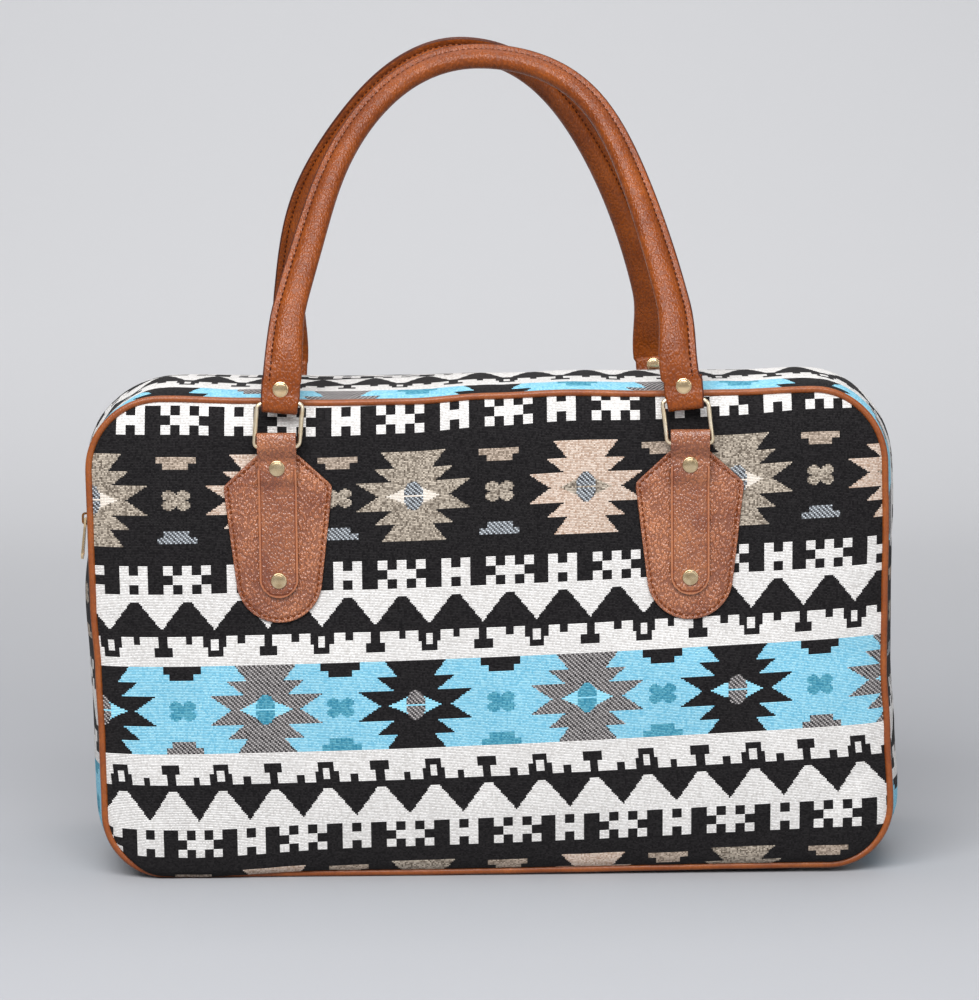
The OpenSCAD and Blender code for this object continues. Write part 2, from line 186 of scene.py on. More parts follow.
def swell(obj, columns, rows, pressure, slack):
    """Swells a grid that is sewn down round its edge. Gives its points before, and how far each moved."""
    before = [v.co.copy() for v in obj.data.vertices]
    normals = [v.normal.copy() for v in obj.data.vertices]
    across = columns + 1
    edge = [k for k in range(len(before)) if k % across in (0, columns) or k // across in (0, rows)]
    only(obj)
    group = obj.vertex_groups.new(name="sewn")
    group.add(edge, 1.0, "REPLACE")
    bpy.ops.object.modifier_add(type="CLOTH")
    cloth = obj.modifiers[-1]
    settings = cloth.settings
    settings.quality = 5
    settings.mass = 0.25
    settings.tension_stiffness = settings.compression_stiffness = 12
    settings.shear_stiffness = 4
    settings.bending_stiffness = 1.5
    settings.tension_damping = settings.compression_damping = 12
    settings.shear_damping = 8
    settings.bending_damping = 1
    settings.air_damping = 3
    settings.vertex_group_mass = "sewn"
    settings.use_pressure = True
    settings.uniform_pressure_force = pressure
    settings.shrink_min = slack
    settings.effector_weights.gravity = 0
    for step in range(1, 25):
        bpy.context.scene.frame_set(step)
    bpy.ops.object.modifier_apply(modifier=cloth.name)
    bpy.context.scene.frame_set(1)
    moved = [(v.co - b).dot(n) for v, b, n in zip(obj.data.vertices, before, normals)]
    print(f"{obj.name}: swelled by up to {1000 * max(moved):.1f} mm")
    return before, moved


def limited(d, most):
    """A swelling that never passes its limit."""
    return most * (1 - math.exp(-max(d, 0.0) / most))


print("swelling ready")

# %% [markdown]
# ## The outline
# Piping and gussets follow the same outline: a rectangle with round corners, walked here from the left
# seam downwards, under the bag, up the right side and back over the top.

# %% Outline
STEP = 0.0045


def straight(a, b, normal):
    n = max(1, round(math.dist(a, b) / STEP))
    return [(a[0] + (b[0] - a[0]) * k / n, a[1] + (b[1] - a[1]) * k / n, *normal) for k in range(n)]


def corner(x, z, r, start):
    n = max(1, round(r * math.pi / 2 / STEP))
    turns = [math.radians(start + 90 * k / n) for k in range(n)]
    return [(x + r * math.cos(t), z + r * math.sin(t), math.cos(t), math.sin(t)) for t in turns]


low_x, high_x, high_z = HALF_W - LOW_R, HALF_W - TOP_R, BAG_H - TOP_R
LOW_ROUTE = (
    straight((-HALF_W, ZIP_END_Z), (-HALF_W, LOW_R), (-1, 0)) + corner(-low_x, LOW_R, LOW_R, 180)
    + straight((-low_x, 0), (low_x, 0), (0, -1)) + corner(low_x, LOW_R, LOW_R, 270)
    + straight((HALF_W, LOW_R), (HALF_W, ZIP_END_Z), (1, 0)) + [(HALF_W, ZIP_END_Z, 1, 0)]
)
HIGH_ROUTE = (
    straight((HALF_W, ZIP_END_Z), (HALF_W, high_z), (1, 0)) + corner(high_x, high_z, TOP_R, 0)
    + straight((high_x, BAG_H), (-high_x, BAG_H), (0, 1)) + corner(-high_x, high_z, TOP_R, 90)
    + straight((-HALF_W, high_z), (-HALF_W, ZIP_END_Z), (-1, 0)) + [(-HALF_W, ZIP_END_Z, -1, 0)]
)


def lengths(route):
    """The distance walked to each point of a route."""
    walked = [0.0]
    for a, b in zip(route, route[1:]):
        walked.append(walked[-1] + math.dist(a[:2], b[:2]))
    return walked


around = lengths(LOW_ROUTE)[-1] + lengths(HIGH_ROUTE)[-1]
print(f"outline: {len(LOW_ROUTE)} points below, {len(HIGH_ROUTE)} above, {around:.3f} m round")

# %% [markdown]
# ## Front and back panels
# Each panel is one piece of padded cloth, and it starts as a grid that is pressed into the panel's
# outline. These helpers say where a point of the grid goes, how far it is from the seam, whether a
# leather patch holds it flat, and how far it droops over the piping near the floor, which it does most of
# all at the lower left.

# %% Panel outline
FRONT_SHIFT, BACK_SHIFT = -0.0035, -0.011
HANDLE_HALF_SPAN = 0.129
PANEL_INSET = 0.0036
# Middle height, half width and half height of what a patch holds flat, and how far that fades.
HELD_Z, HELD_HALF_W, HELD_HALF_H, HELD_FADE = 0.222, 0.030, 0.052, 0.035


def in_outline(p, q):
    """The point at (p, q) of a square, pressed into the panel's outline."""
    half_w, half_h = HALF_W - PANEL_INSET, BAG_H / 2 - PANEL_INSET
    x, z = (2 * p - 1) * half_w, (2 * q - 1) * half_h
    r = (TOP_R if z > 0 else LOW_R) - PANEL_INSET
    dx, dz = abs(x) - (half_w - r), abs(z) - (half_h - r)
    if dx > 0 and dz > 0:
        round_x = dx * math.sqrt(1 - dz * dz / (2 * r * r))
        round_z = dz * math.sqrt(1 - dx * dx / (2 * r * r))
        x = math.copysign(half_w - r + round_x, x)
        z = math.copysign(half_h - r + round_z, z)
    return x, z + BAG_H / 2


def depth_in(x, z):
    """How far a point lies inside the outline, round corners included."""
    up, r = abs(z - BAG_H / 2), TOP_R if z > BAG_H / 2 else LOW_R
    dx, dz = abs(x) - (HALF_W - r), up - (BAG_H / 2 - r)
    if dx > 0 and dz > 0:
        return r - math.hypot(dx, dz)
    return min(HALF_W - abs(x), BAG_H / 2 - up)


def under_patch(x, z, shift):
    """1 under a leather patch, fading to 0 around it."""
    best = 0.0
    for side in (-1, 1):
        dx = max(abs(x - shift - side * HANDLE_HALF_SPAN) - HELD_HALF_W, 0.0)
        dz = max(abs(z - HELD_Z) - HELD_HALF_H, 0.0)
        best = max(best, 1 - ease(math.hypot(dx, dz) / HELD_FADE))
    return best


def sag(x, z):
    """How far a panel droops over the piping near the floor, most of all at the lower left."""
    at_left = math.exp(-((x + 0.19) / 0.065) ** 2)
    return 0.0016 * ease((0.018 - z) / 0.012) + 0.0048 * at_left * ease((0.06 - z) / 0.045)


print(f"a panel's middle is {depth_in(0, BAG_H / 2):.3f} m from its seam")

# %% [markdown]
# The sheet is swelled and then settled: the swelling is limited, the places under the patches are held
# flat and the slouch is added. The cloth was cut a little off the pattern's rows, so on the front the
# rows climb to the right. The UV map takes that up, so that the shader can draw level rows.

# %% Panels
ROW_ZERO_Z = 0.2394
PANEL_COLUMNS, PANEL_ROWS = 124, 76
PANEL_PUFF = 0.0125


def row_climb(x, z):
    """How far the pattern's rows climb to the right on the front, most of all half way up."""
    middle = 0.8 + 0.25 * max(1 - ((z - 0.15) / 0.13) ** 2, 0.0)
    return 0.003 + 0.0154 * middle * (max(x + 0.22, 0.0) / 0.474) ** 1.6


def make_panel(name, side, shift, replaced):
    """A padded panel: side is -1 for the front and 1 for the back."""
    edge_y = SEAM_Y + 0.0002

    def sewn_place(p, q):
        return in_outline(p if side < 0 else 1 - p, q)

    def place(p, q):
        x, z = sewn_place(p, q)
        return Vector((x, side * edge_y, z))

    def cloth_place(p, q):
        x, z = sewn_place(p, q)
        u = -side * x - 0.0015 - 0.0035 * ease((0.1 - z) / 0.06)
        tucked = 1.8 * max(0.05 - z, 0.0) ** 2 + 0.0036 * ease((0.024 - z) / 0.018)
        return (u, z - ROW_ZERO_Z - row_climb(-side * x, z) - tucked)

    obj = sheet_from_grid(name, PANEL_COLUMNS, PANEL_ROWS, place)
    lay_pattern(obj, cloth_place)
    before, moved = swell(obj, PANEL_COLUMNS, PANEL_ROWS, 5.0, -0.012)
    for v, b in zip(obj.data.vertices, before):
        inside = depth_in(b.x, b.z)
        from_seam = max(inside - PANEL_INSET, 0)
        steep = 0.013 - 0.008 * ease((0.03 - b.z) / 0.02)
        puff = PANEL_PUFF * (1 - math.exp(-from_seam / steep))
        if moved:
            puff = 0.45 * puff + 0.55 * limited(moved[v.index], PANEL_PUFF)
        puff += 0.0012 * noise.noise(Vector((b.x * 9, side * 3.1, b.z * 11))) * ease(inside / 0.04)
        y = edge_y + puff
        y += (PLATEAU_Y - 0.0001 - y) * under_patch(b.x, b.z, shift)
        drop = sag(b.x, b.z) * ease(from_seam / 0.004)
        v.co = slouch(Vector((b.x, side * y, b.z - drop)))
        v.co.z = max(v.co.z, 0.0005)
    smooth(obj)
    stand_in(obj, "bag", replaced)
    return obj


front_cloth = make_panel("front_cloth", -1, FRONT_SHIFT, "front_panel")
back_cloth = make_panel("back_cloth", 1, BACK_SHIFT, "back_panel")
print("panels:", len(front_cloth.data.vertices), "points each")

# %% [markdown]
# ## Gussets
# The gussets are the strips that join the two panels: one runs under the bag from side seam to side seam,
# and two run over the top on either side of the zip. Each is a grid bent along the outline, swelled
# between its seams. On the floor the lower one is pressed flat. Along the zip the cloth is turned under
# in a narrow hem.

# %% Gussets
SIDE_BULGE, TOP_BULGE = 0.0105, 0.0063


def bulge_of(y, nx, nz):
    """How far a gusset stands out at a depth, for the way the outline faces there."""
    s, inside = min(abs(y) / GUSSET_Y, 1.0), max(GUSSET_Y - abs(y), 0.0)
    sides = SIDE_BULGE * (1 - s ** 3)
    if y < 0:
        ridge = 0.0036 * math.exp(-((inside - 0.051) / 0.015) ** 2)
        top = TOP_BULGE * (1 - math.exp(-inside / 0.0075)) + ridge
    else:
        top = TOP_BULGE * (1 - s ** 1.6)
    return sides * nx * nx + top * max(nz, 0.0) ** 2


def make_gusset(name, route, ys, drops, cloth_place, replaced):
    """A strip along a route: ys has the depth of each row, and drops how far it lies below the outline."""
    columns, rows = len(route) - 1, len(ys) - 1
    walked = lengths(route)

    def place(p, q):
        x, z, nx, nz = route[round(p * columns)]
        row = round(q * rows)
        return Vector((x - nx * drops[row], ys[row], z - nz * drops[row]))

    obj = sheet_from_grid(name, columns, rows, place)
    lay_pattern(obj, lambda p, q: cloth_place(walked[round(p * columns)], round(q * rows)))
    before, moved = swell(obj, columns, rows, 4.0, -0.015)
    for v, b in zip(obj.data.vertices, before):
        x, z, nx, nz = route[v.index % (columns + 1)]
        flatter = 0.75 * ease((z - 0.18) / 0.05) * ease(-1.6 * nx) * ease(-b.y / 0.06)
        bulge = bulge_of(b.y, nx, nz) * (1 - flatter)
        if moved:
            bulge = 0.8 * bulge + 0.2 * limited(moved[v.index], 1.3 * bulge + 1e-6)
        facing = (abs(nx) + max(nz, 0.0)) * ease((GUSSET_Y - abs(b.y)) / 0.025)
        bulge += 0.0012 * noise.noise(Vector((b.x * 14, b.y * 17, b.z * 14 + 5))) * facing
        v.co = slouch(b + Vector((nx, 0, nz)) * bulge)
        v.co.z = max(v.co.z, 0.0002)
    smooth(obj)
    stand_in(obj, "bag", replaced)
    return obj


LOW_ROWS, CLOTH_DROP = 40, 0.0006
low_ys = [GUSSET_Y - 2 * GUSSET_Y * k / LOW_ROWS for k in range(LOW_ROWS + 1)]
lower_cloth = make_gusset("lower_gusset_cloth", LOW_ROUTE, low_ys, [CLOTH_DROP] * len(low_ys),
                          lambda s, k: (low_ys[k] + 0.075, 0.982 * (s - 0.030)), "lower_gusset")
print("lower gusset:", len(lower_cloth.data.vertices), "points")

# %% [markdown]
# The two strips beside the zip end in a hem, which is a few more rows that turn down and under. The
# pattern is laid by the length of cloth that is used up across the strip, so that its rows keep their
# width where the strip bulges.

# %% Strips beside the zip
STRIP_ROWS, HEM_R = 26, 0.0016
hem_turns = [math.radians(a) for a in (30, 65, 100, 140)]
strip_ys = [GUSSET_Y - (GUSSET_Y - ZIP_HALF_GAP - HEM_R) * k / STRIP_ROWS for k in range(STRIP_ROWS + 1)]
strip_drops = [CLOTH_DROP] * len(strip_ys) + [CLOTH_DROP + HEM_R * (1 - math.cos(a)) for a in hem_turns]
strip_ys += [ZIP_HALF_GAP + HEM_R - HEM_R * math.sin(a) for a in hem_turns]
section = [Vector((y, bulge_of(-y, 0, 1) - d)) for y, d in zip(strip_ys, strip_drops)]
strip_vs = [0.1195]
for a, b in zip(section, section[1:]):
    strip_vs.append(strip_vs[-1] - (b - a).length)
half_route = lengths(HIGH_ROUTE)[-1] / 2
back_strip = make_gusset("zip_gusset_cloth_back", HIGH_ROUTE, strip_ys, strip_drops,
                         lambda s, k: (s - half_route - 0.0496, strip_vs[k]), "zip_gusset_back")
front_ys = [-y for y in reversed(strip_ys)]
front_strip = make_gusset("zip_gusset_cloth_front", HIGH_ROUTE, front_ys, strip_drops[::-1],
                          lambda s, k: (half_route - s - 0.0516, strip_vs[-1 - k]), "zip_gusset_front")
print("zip strips:", len(front_strip.data.vertices), "points each")

# %% [markdown]
# ## Piping
# Piping is a cord wrapped in leather and caught in the seam. A path curve with a round bevel is the
# natural way to make it: its points follow the slouched outline, and converting it to a mesh fixes the
# tube.

# %% Piping
CORD_R = 0.0022


def closed_tube(name, points, radius, roundness):
    """A closed path curve with a round bevel, converted to a mesh."""
    bpy.ops.object.select_all(action="DESELECT")
    bpy.ops.curve.primitive_nurbs_path_add()
    obj = bpy.context.object
    obj.name = obj.data.name = name
    curve = obj.data
    curve.splines.clear()
    line = curve.splines.new("NURBS")
    line.points.add(len(points) - 1)
    for point, p in zip(line.points, points):
        point.co = (*p, 1)
    line.order_u = 3
    line.use_cyclic_u = True
    line.resolution_u = 2
    curve.bevel_depth = radius
    curve.bevel_resolution = roundness
    bpy.ops.object.convert(target="MESH")
    obj = bpy.context.object
    smooth(obj)
    return obj


def make_piping(name, side, replaced):
    points = []
    for x, z, nx, nz in LOW_ROUTE[:-1] + HIGH_ROUTE[:-1]:
        p = slouch(Vector((x - nx * PIPING_R, side * SEAM_Y, z - nz * PIPING_R)))
        p.z = max(p.z, CORD_R)
        points.append(p)
    return stand_in(closed_tube(name, points, CORD_R, 3), "bag", replaced)


front_cord = make_piping("front_piping_cord", -1, "front_piping")
back_cord = make_piping("back_piping_cord", 1, "back_piping")
print("piping:", len(front_cord.data.polygons), "faces each")

# %% [markdown]
# ## Leather patches
# Each handle end is carried by a shield of leather: a short straight top, wide shoulders, sides that draw
# in and a round bottom. Its outline is a few straight lines and an arc, which are then spread into even
# steps.

# %% Patch outline
PATCH_TOP, PATCH_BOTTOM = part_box("front_left_patch")[1][2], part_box("front_left_patch")[0][2]
PATCH_ROUND = 0.027
STRAP_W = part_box("front_left_chape")[1][0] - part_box("front_left_chape")[0][0]
LEATHER = 0.002


def evenly(points, count, closed=True):
    """Points spread evenly along a line, each with its direction, and the line's length."""
    loop = points + [points[0]] if closed else points
    walked = [0.0]
    for a, b in zip(loop, loop[1:]):
        walked.append(walked[-1] + (b - a).length)
    spread, k = [], 0
    for n in range(count):
        d = walked[-1] * n / (count if closed else count - 1)
        while k < len(loop) - 2 and walked[k + 1] < d:
            k += 1
        f = (d - walked[k]) / max(walked[k + 1] - walked[k], 1e-9)
        spread.append((loop[k].lerp(loop[k + 1], f), (loop[k + 1] - loop[k]).normalized()))
    return spread, walked[-1]


def shield():
    """The shield's outline as x and z, clockwise from its top, with a small round at each shoulder."""
    half_top, shoulder_z, half_w, r = 0.012, 0.2515, 0.0345, PATCH_ROUND
    round_z = PATCH_BOTTOM + r
    up = shoulder_z - round_z
    touch = math.atan2(up, half_w) - math.acos(r / math.hypot(half_w, up))
    turns = [touch - (math.pi / 2 + touch) * k / 24 for k in range(24)]
    right = [(half_top - 0.0012, PATCH_TOP), (half_top + 0.001, PATCH_TOP - 0.0012),
             (half_w - 0.0024, shoulder_z + 0.0018), (half_w - 0.0009, shoulder_z),
             (half_w - 0.0006, shoulder_z - 0.0025)]
    right += [(r * math.cos(a), round_z + r * math.sin(a)) for a in turns]
    line = right + [(0.0, PATCH_BOTTOM)] + [(-x, z) for x, z in reversed(right)]
    return [Vector(p) for p in line]


def inwards(p, inset):
    """A point of the shield moved towards the shield's upright middle line."""
    spine = Vector((0, min(max(p.y, PATCH_BOTTOM + PATCH_ROUND), 0.248)))
    return p + (spine - p).normalized() * inset


print(f"a patch is {evenly(shield(), 2)[1]:.3f} m round")

# %% [markdown]
# A grid is wrapped into rings round the shield: the outer ones make the rounded edge, the next ones dip
# where the stitches pull the leather in, and the inner ones rise to a soft middle beside the strap.
# Merging the grid's seam and filling its open ends closes the mesh.

# %% Patches
# Millimetres: how far inside the edge each ring lies, and how high above the cloth.
PATCH_RINGS = ((0, 0.0), (0, 1.3), (0.15, 1.7), (0.5, 1.95), (1.2, 2.0), (1.8, 1.85), (2.3, 1.5), (2.8, 1.5),
               (3.3, 1.85), (4.2, 2.1), (6.0, 2.35), (9.0, 2.5))
PATCH_AROUND = 160


def close_tube(obj):
    """Joins a wrapped grid along its seam, fills its ends and faces it outwards."""
    only(obj)
    bpy.ops.object.mode_set(mode="EDIT")
    bpy.ops.mesh.select_all(action="SELECT")
    bpy.ops.mesh.remove_doubles(threshold=0.00002)
    bpy.ops.mesh.select_all(action="DESELECT")
    bpy.ops.mesh.select_non_manifold()
    bpy.ops.mesh.fill_holes(sides=0)
    bpy.ops.mesh.select_all(action="SELECT")
    bpy.ops.mesh.normals_make_consistent(inside=False)
    bpy.ops.object.mode_set(mode="OBJECT")
    smooth(obj)


def make_patch(name, x, side, replaced):
    outline, _ = evenly(shield(), PATCH_AROUND)
    rows = len(PATCH_RINGS) - 1

    def place(p, q):
        point = outline[round(p * PATCH_AROUND) % PATCH_AROUND][0]
        inset, rise = PATCH_RINGS[round(q * rows)]
        at = inwards(point, 0.001 * inset)
        beside = ease((abs(at.x) - STRAP_W / 2) / 0.004)
        rise = min(rise, 2.0) + max(rise - 2.0, 0) * beside - 0.1
        return Vector((x + at.x, side * (PLATEAU_Y + 0.001 * rise), at.y))

    obj = sheet_from_grid(name, PATCH_AROUND, rows, place)
    close_tube(obj)
    return stand_in(obj, "bag", replaced)


SIDES = (("front", -1, FRONT_SHIFT), ("back", 1, BACK_SHIFT))
ENDS = [(f, s, side, shift + way * HANDLE_HALF_SPAN)
        for f, side, shift in SIDES for s, way in (("left", -1), ("right", 1))]
patches = [make_patch(f"{f}_{s}_patch_leather", x, side, f"{f}_{s}_patch") for f, s, side, x in ENDS]
print("patches:", len(patches), "with", len(patches[0].data.polygons), "faces each")

# %% [markdown]
# ## Chapes
# A chape is the short strap that holds a ring. It starts with a round end on the patch, climbs over its
# own folded-back layer, turns round the ring's lower bar and comes down behind. A few points along that
# path are enough: a smooth curve is drawn through them.

# %% Path of the chapes
RING_Y = -0.5 * (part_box("front_left_ring")[0][1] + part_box("front_left_ring")[1][1])
RING_LOW_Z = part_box("front_left_ring")[0][2] + 0.0015
RING_TOP_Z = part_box("front_left_ring")[1][2] - 0.0015
CHAPE_END_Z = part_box("front_left_chape")[0][2]
FOLD_R = 0.0028
FOLD_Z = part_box("front_left_chape")[1][2] - 0.0038


def curve_through(points, step):
    """A smooth, evenly stepped line through a few points, rounded at each of them."""
    fine = []
    for k in range(len(points) - 1):
        p0, p1 = Vector(points[max(k - 1, 0)]), Vector(points[k])
        p2, p3 = Vector(points[k + 1]), Vector(points[min(k + 2, len(points) - 1)])
        for n in range(12):
            t = n / 12
            fine.append(0.5 * (2 * p1 + (p2 - p0) * t + (2 * p0 - 5 * p1 + 4 * p2 - p3) * t * t
                               + (3 * p1 - p0 - 3 * p2 + p3) * t ** 3))
    fine.append(Vector(points[-1]))
    length = sum((b - a).length for a, b in zip(fine, fine[1:]))
    return [p for p, _ in evenly(fine, round(length / step) + 1, closed=False)[0]]


# Depth and height of the strap's middle: flat on the patch, over its other end, to the ring and round it.
on_patch = PLATEAU_Y + LEATHER + LEATHER / 2
chape_path = [(on_patch, CHAPE_END_Z), (on_patch, 0.200), (on_patch, 0.225), (on_patch, 0.248),
              (on_patch + 0.0018, 0.256), (on_patch + 0.002, 0.263), (on_patch + 0.0022, 0.268),
              (RING_Y + FOLD_R - 0.0003, 0.2755), (RING_Y + FOLD_R, FOLD_Z)]
fold_turns = [math.pi * k / 6 for k in range(1, 6)]
chape_path += [(RING_Y + FOLD_R * math.cos(a), FOLD_Z + FOLD_R * math.sin(a)) for a in fold_turns]
chape_path += [(RING_Y - FOLD_R, FOLD_Z), (RING_Y - FOLD_R, 0.270), (RING_Y - FOLD_R, 0.2575)]
chape_line = curve_through(chape_path, 0.0014)


print("path of a chape:", len(chape_line), "points")

# %% [markdown]
# One strip of grid follows the path. Its lower end is rounded and a fine line is pressed beside its edge.
# Solidify then gives the strap its thickness, and Bevel its soft edges.

# %% Chapes


def strap_end(p, along_end, r):
    """Sideways place and setback of a strap's round end: along_end is the distance from the tip."""
    dx, dz = (2 * p - 1) * r, max(r - along_end, 0.0)
    return dx * math.sqrt(1 - dz * dz / (2 * r * r)), dz - dz * math.sqrt(max(1 - dx * dx / (2 * r * r), 0))


def finish_strap(obj, thickness):
    """Gives a strap its thickness and rounds its cut edges."""
    only(obj)
    bpy.ops.object.modifier_add(type="SOLIDIFY")
    obj.modifiers[-1].thickness = thickness
    obj.modifiers[-1].offset = 0
    bpy.ops.object.modifier_apply(modifier=obj.modifiers[-1].name)
    bpy.ops.object.modifier_add(type="BEVEL")
    bevel = obj.modifiers[-1]
    bevel.width = 0.0005
    bevel.segments = 2
    bevel.limit_method = "ANGLE"
    bevel.angle_limit = math.radians(50)
    bpy.ops.object.modifier_apply(modifier=bevel.name)
    bpy.ops.object.mode_set(mode="EDIT")
    bpy.ops.mesh.select_all(action="SELECT")
    bpy.ops.mesh.normals_make_consistent(inside=False)
    bpy.ops.object.mode_set(mode="OBJECT")
    smooth(obj)


def make_chape(name, x, side, replaced):
    rows, columns = len(chape_line) - 1, 22
    r = STRAP_W / 2

    def place(p, q):
        p = 0.5 - 0.5 * math.cos(math.pi * p)
        row = round(q * rows)
        y, z = chape_line[row]
        tip = (chape_line[row] - chape_line[0]).length
        sideways, back = strap_end(p, tip, r) if tip < r else ((2 * p - 1) * r, 0.0)
        edge = min(r - abs(sideways), tip)
        crown = 0.0003 * ease(edge / 0.004) - 0.0003 * math.exp(-((edge - 0.0019) / 0.0006) ** 2)
        crown *= ease((0.283 - z) / 0.006) * (row < 0.62 * rows)
        return Vector((x + sideways, side * (y + crown), z + back))

    obj = sheet_from_grid(name, columns, rows, place)
    finish_strap(obj, LEATHER - 0.0001)
    return stand_in(obj, "bag", replaced)


chapes = [make_chape(f"{f}_{s}_chape_leather", x, side, f"{f}_{s}_chape") for f, s, side, x in ENDS]
print("chapes:", len(chapes), "with", len(chapes[0].data.polygons), "faces each")

# %% [markdown]
# ## Handles
# A rolled handle is a leather strap folded over a filler and sewn along its outer edge, so its section is
# a soft roll with a flat stitched rim. Towards each end the roll flattens into a plain strap, which turns
# round the ring's upper bar and is riveted to itself. The middle line is half an ellipse that slumps to
# the left and leans inwards, as in the CAD. A soft handle also bows where its filler gives way: a few
# bows, read off the photograph, move the line sideways beyond the CAD, and each section is laid across
# it.

# %% Handle line
LEAN_EASE = 0.08
EYE_RIVET_Z = RING_TOP_Z + 0.009
EYE_TOP_Z = EYE_RIVET_Z + 0.0065
EYE_FOLD_Z = RING_TOP_Z - 0.0024
HANDLE_T, HANDLE_TOP_W = 0.0125, 0.015
TOP_TWIST = math.radians(24)
HALF_REACH = (HANDLE_T * math.cos(TOP_TWIST) + HANDLE_TOP_W * math.sin(TOP_TWIST)) / 2
HANDLE_LEAN = RING_Y - 0.00035 - HALF_REACH


def lean(z, rise):
    """Depth of a handle's middle line at a height, seen from its ring."""
    s = (z - EYE_TOP_Z) / (RING_TOP_Z + rise - EYE_TOP_Z)
    if s < 0:
        return 0.0
    return HANDLE_LEAN * (math.hypot(s, LEAN_EASE) - LEAN_EASE) / (math.hypot(1, LEAN_EASE) - LEAN_EASE)


def pull(x, z):
    """How far a handle's end is drawn towards the middle of the bag, most of all just above its ring."""
    above = z - RING_TOP_Z
    inward = (0.0024 + 0.1 * above) * (1 - ease(above / 0.06))
    return -1.35 * inward if x > 0 else inward


# Each bow: its place in degrees round the arch, its width in degrees, and how far it moves the handle.
FRONT_BOWS = ((63, 36, 0.0182), (154, 14, 0.0038))
BACK_BOWS = ((30, 34, 0.0030), (98, 26, 0.0040), (146, 15, -0.0052))
# Each handle: its side, its shift, the height of its arch, its slump and its bows.
HANDLES = (("front", -1, FRONT_SHIFT, 0.217, 0.012, FRONT_BOWS),
           ("back", 1, BACK_SHIFT, 0.222, 0.010, BACK_BOWS))


def handle_frame(a, rise, slump, bows):
    """Middle point, outward direction and facing at an angle round the arch, for the front handle."""
    def point(t):
        x = HANDLE_HALF_SPAN * math.cos(t) - slump * math.sin(t) * (1 + 1.4 * math.cos(t))
        x += 0.024 * math.sin(t) ** 6 * max(math.cos(t), 0.0)
        free = ease(math.degrees(min(t, math.pi - t)) / 12)
        x += free * sum(far * math.exp(-((math.degrees(t) - at) / wide) ** 2) for at, wide, far in bows)
        z = RING_TOP_Z + rise * math.sin(t)
        return Vector((x + pull(x, z), -RING_Y + lean(z, rise), z))
    p = point(a)
    direction = (point(a + 0.004) - point(a - 0.004)).normalized()
    slope = (lean(p.z + 0.0005, rise) - lean(p.z - 0.0005, rise)) / 0.001
    front = Vector((0, -1, slope)).normalized()
    outward = direction.cross(front)
    if outward.dot(Vector((math.cos(a), 0, math.sin(a)))) < 0:
        outward = -outward
    return p, outward, front


for name, _, _, rise, slump, bows in HANDLES:
    print(name, "handle apex at", tuple(round(v, 4) for v in handle_frame(math.pi / 2, rise, slump, bows)[0]))

# %% [markdown]
# The section runs once round the strap. `roll` says how much of the filler is there: 0 is a plain flat
# strap and 1 the full roll. The rim on the outer side always keeps the thickness of its two layers.

# %% Handle sections
RIM = 0.0045
RIM_PLACES = (0.0040, 0.0034, 0.0026, 0.0017, 0.0010, 0.0005, 0.0001, 0.0)
ROLL_TURNS = [math.pi * (1 - k / 12) for k in range(13)]
RIM_MIDDLE = len(ROLL_TURNS) + len(RIM_PLACES) - 1


def section_places(w):
    """Distances from the outer edge at which a section has its points, from the inner edge outwards."""
    roll = [RIM + (w - RIM) * (1 - math.cos(a)) / 2 for a in ROLL_TURNS]
    return roll + list(RIM_PLACES)


def section_height(e, w, roll, thick):
    """Half thickness of the strap at a distance from its outer edge."""
    inner = min(e, w - e)
    flat = thick / 2 * math.sqrt(max(1 - max(1 - inner / 0.0009, 0.0) ** 2, 0.0))
    s = 2 * (e - RIM) / (w - RIM) - 1
    tube = HANDLE_T / 2 * math.sqrt(max(1 - abs(s) ** 2.2, 0.0)) if abs(s) < 1 else 0.0
    lip = 0.0016 * math.sqrt(max(1 - max(1 - e / 0.0014, 0.0) ** 2, 0.0))
    lip -= 0.0004 * ease((e - 0.0026) / 0.0018)
    full = tube if e > RIM + 0.004 else max(tube, lip)
    return flat + (full - flat) * roll


print("half a section has", RIM_MIDDLE + 1, "points")

# %% [markdown]
# Stations along the handle say where each section lies, how it is turned and how full it is: first the
# folded eye at one end, then the arch, then the other eye. A grid is wrapped round them and closed like
# the patches.

# %% Handle mesh
ARCH_STEPS = 150


def eye_stations(end):
    """Stations of a folded eye: down its inner layer, round the ring's bar and up its outer layer."""
    fold = [(-0.0013, EYE_TOP_Z - 0.0005), (-0.0013, EYE_RIVET_Z + 0.003), (-0.0014, EYE_RIVET_Z - 0.001),
            (-0.0020, EYE_RIVET_Z - 0.004), (-FOLD_R, RING_TOP_Z + 0.0015), (-FOLD_R, EYE_FOLD_Z)]
    turns = [math.pi * k / 8 for k in range(1, 8)]
    fold += [(-FOLD_R * math.cos(t), EYE_FOLD_Z - FOLD_R * math.sin(t)) for t in turns]
    fold += [(-y, z) for y, z in reversed(fold[1:6])]
    sideways = Vector((end * math.cos(0.1), 0, math.sin(0.1)))
    x = end * HANDLE_HALF_SPAN
    stations = []
    for k, (y, z) in enumerate(fold):
        before, after = fold[max(k - 1, 0)], fold[min(k + 1, len(fold) - 1)]
        d = Vector((0, before[0] - after[0], after[1] - before[1])).normalized()
        w = STRAP_W * (1 - 0.07 * ease((RING_TOP_Z + 0.004 - z) / 0.006))
        middle = Vector((x + pull(x, z), -RING_Y - y, z))
        stations.append((middle, sideways, Vector((0, -d.z, d.y)), w, 0.0, LEATHER))
    return stations


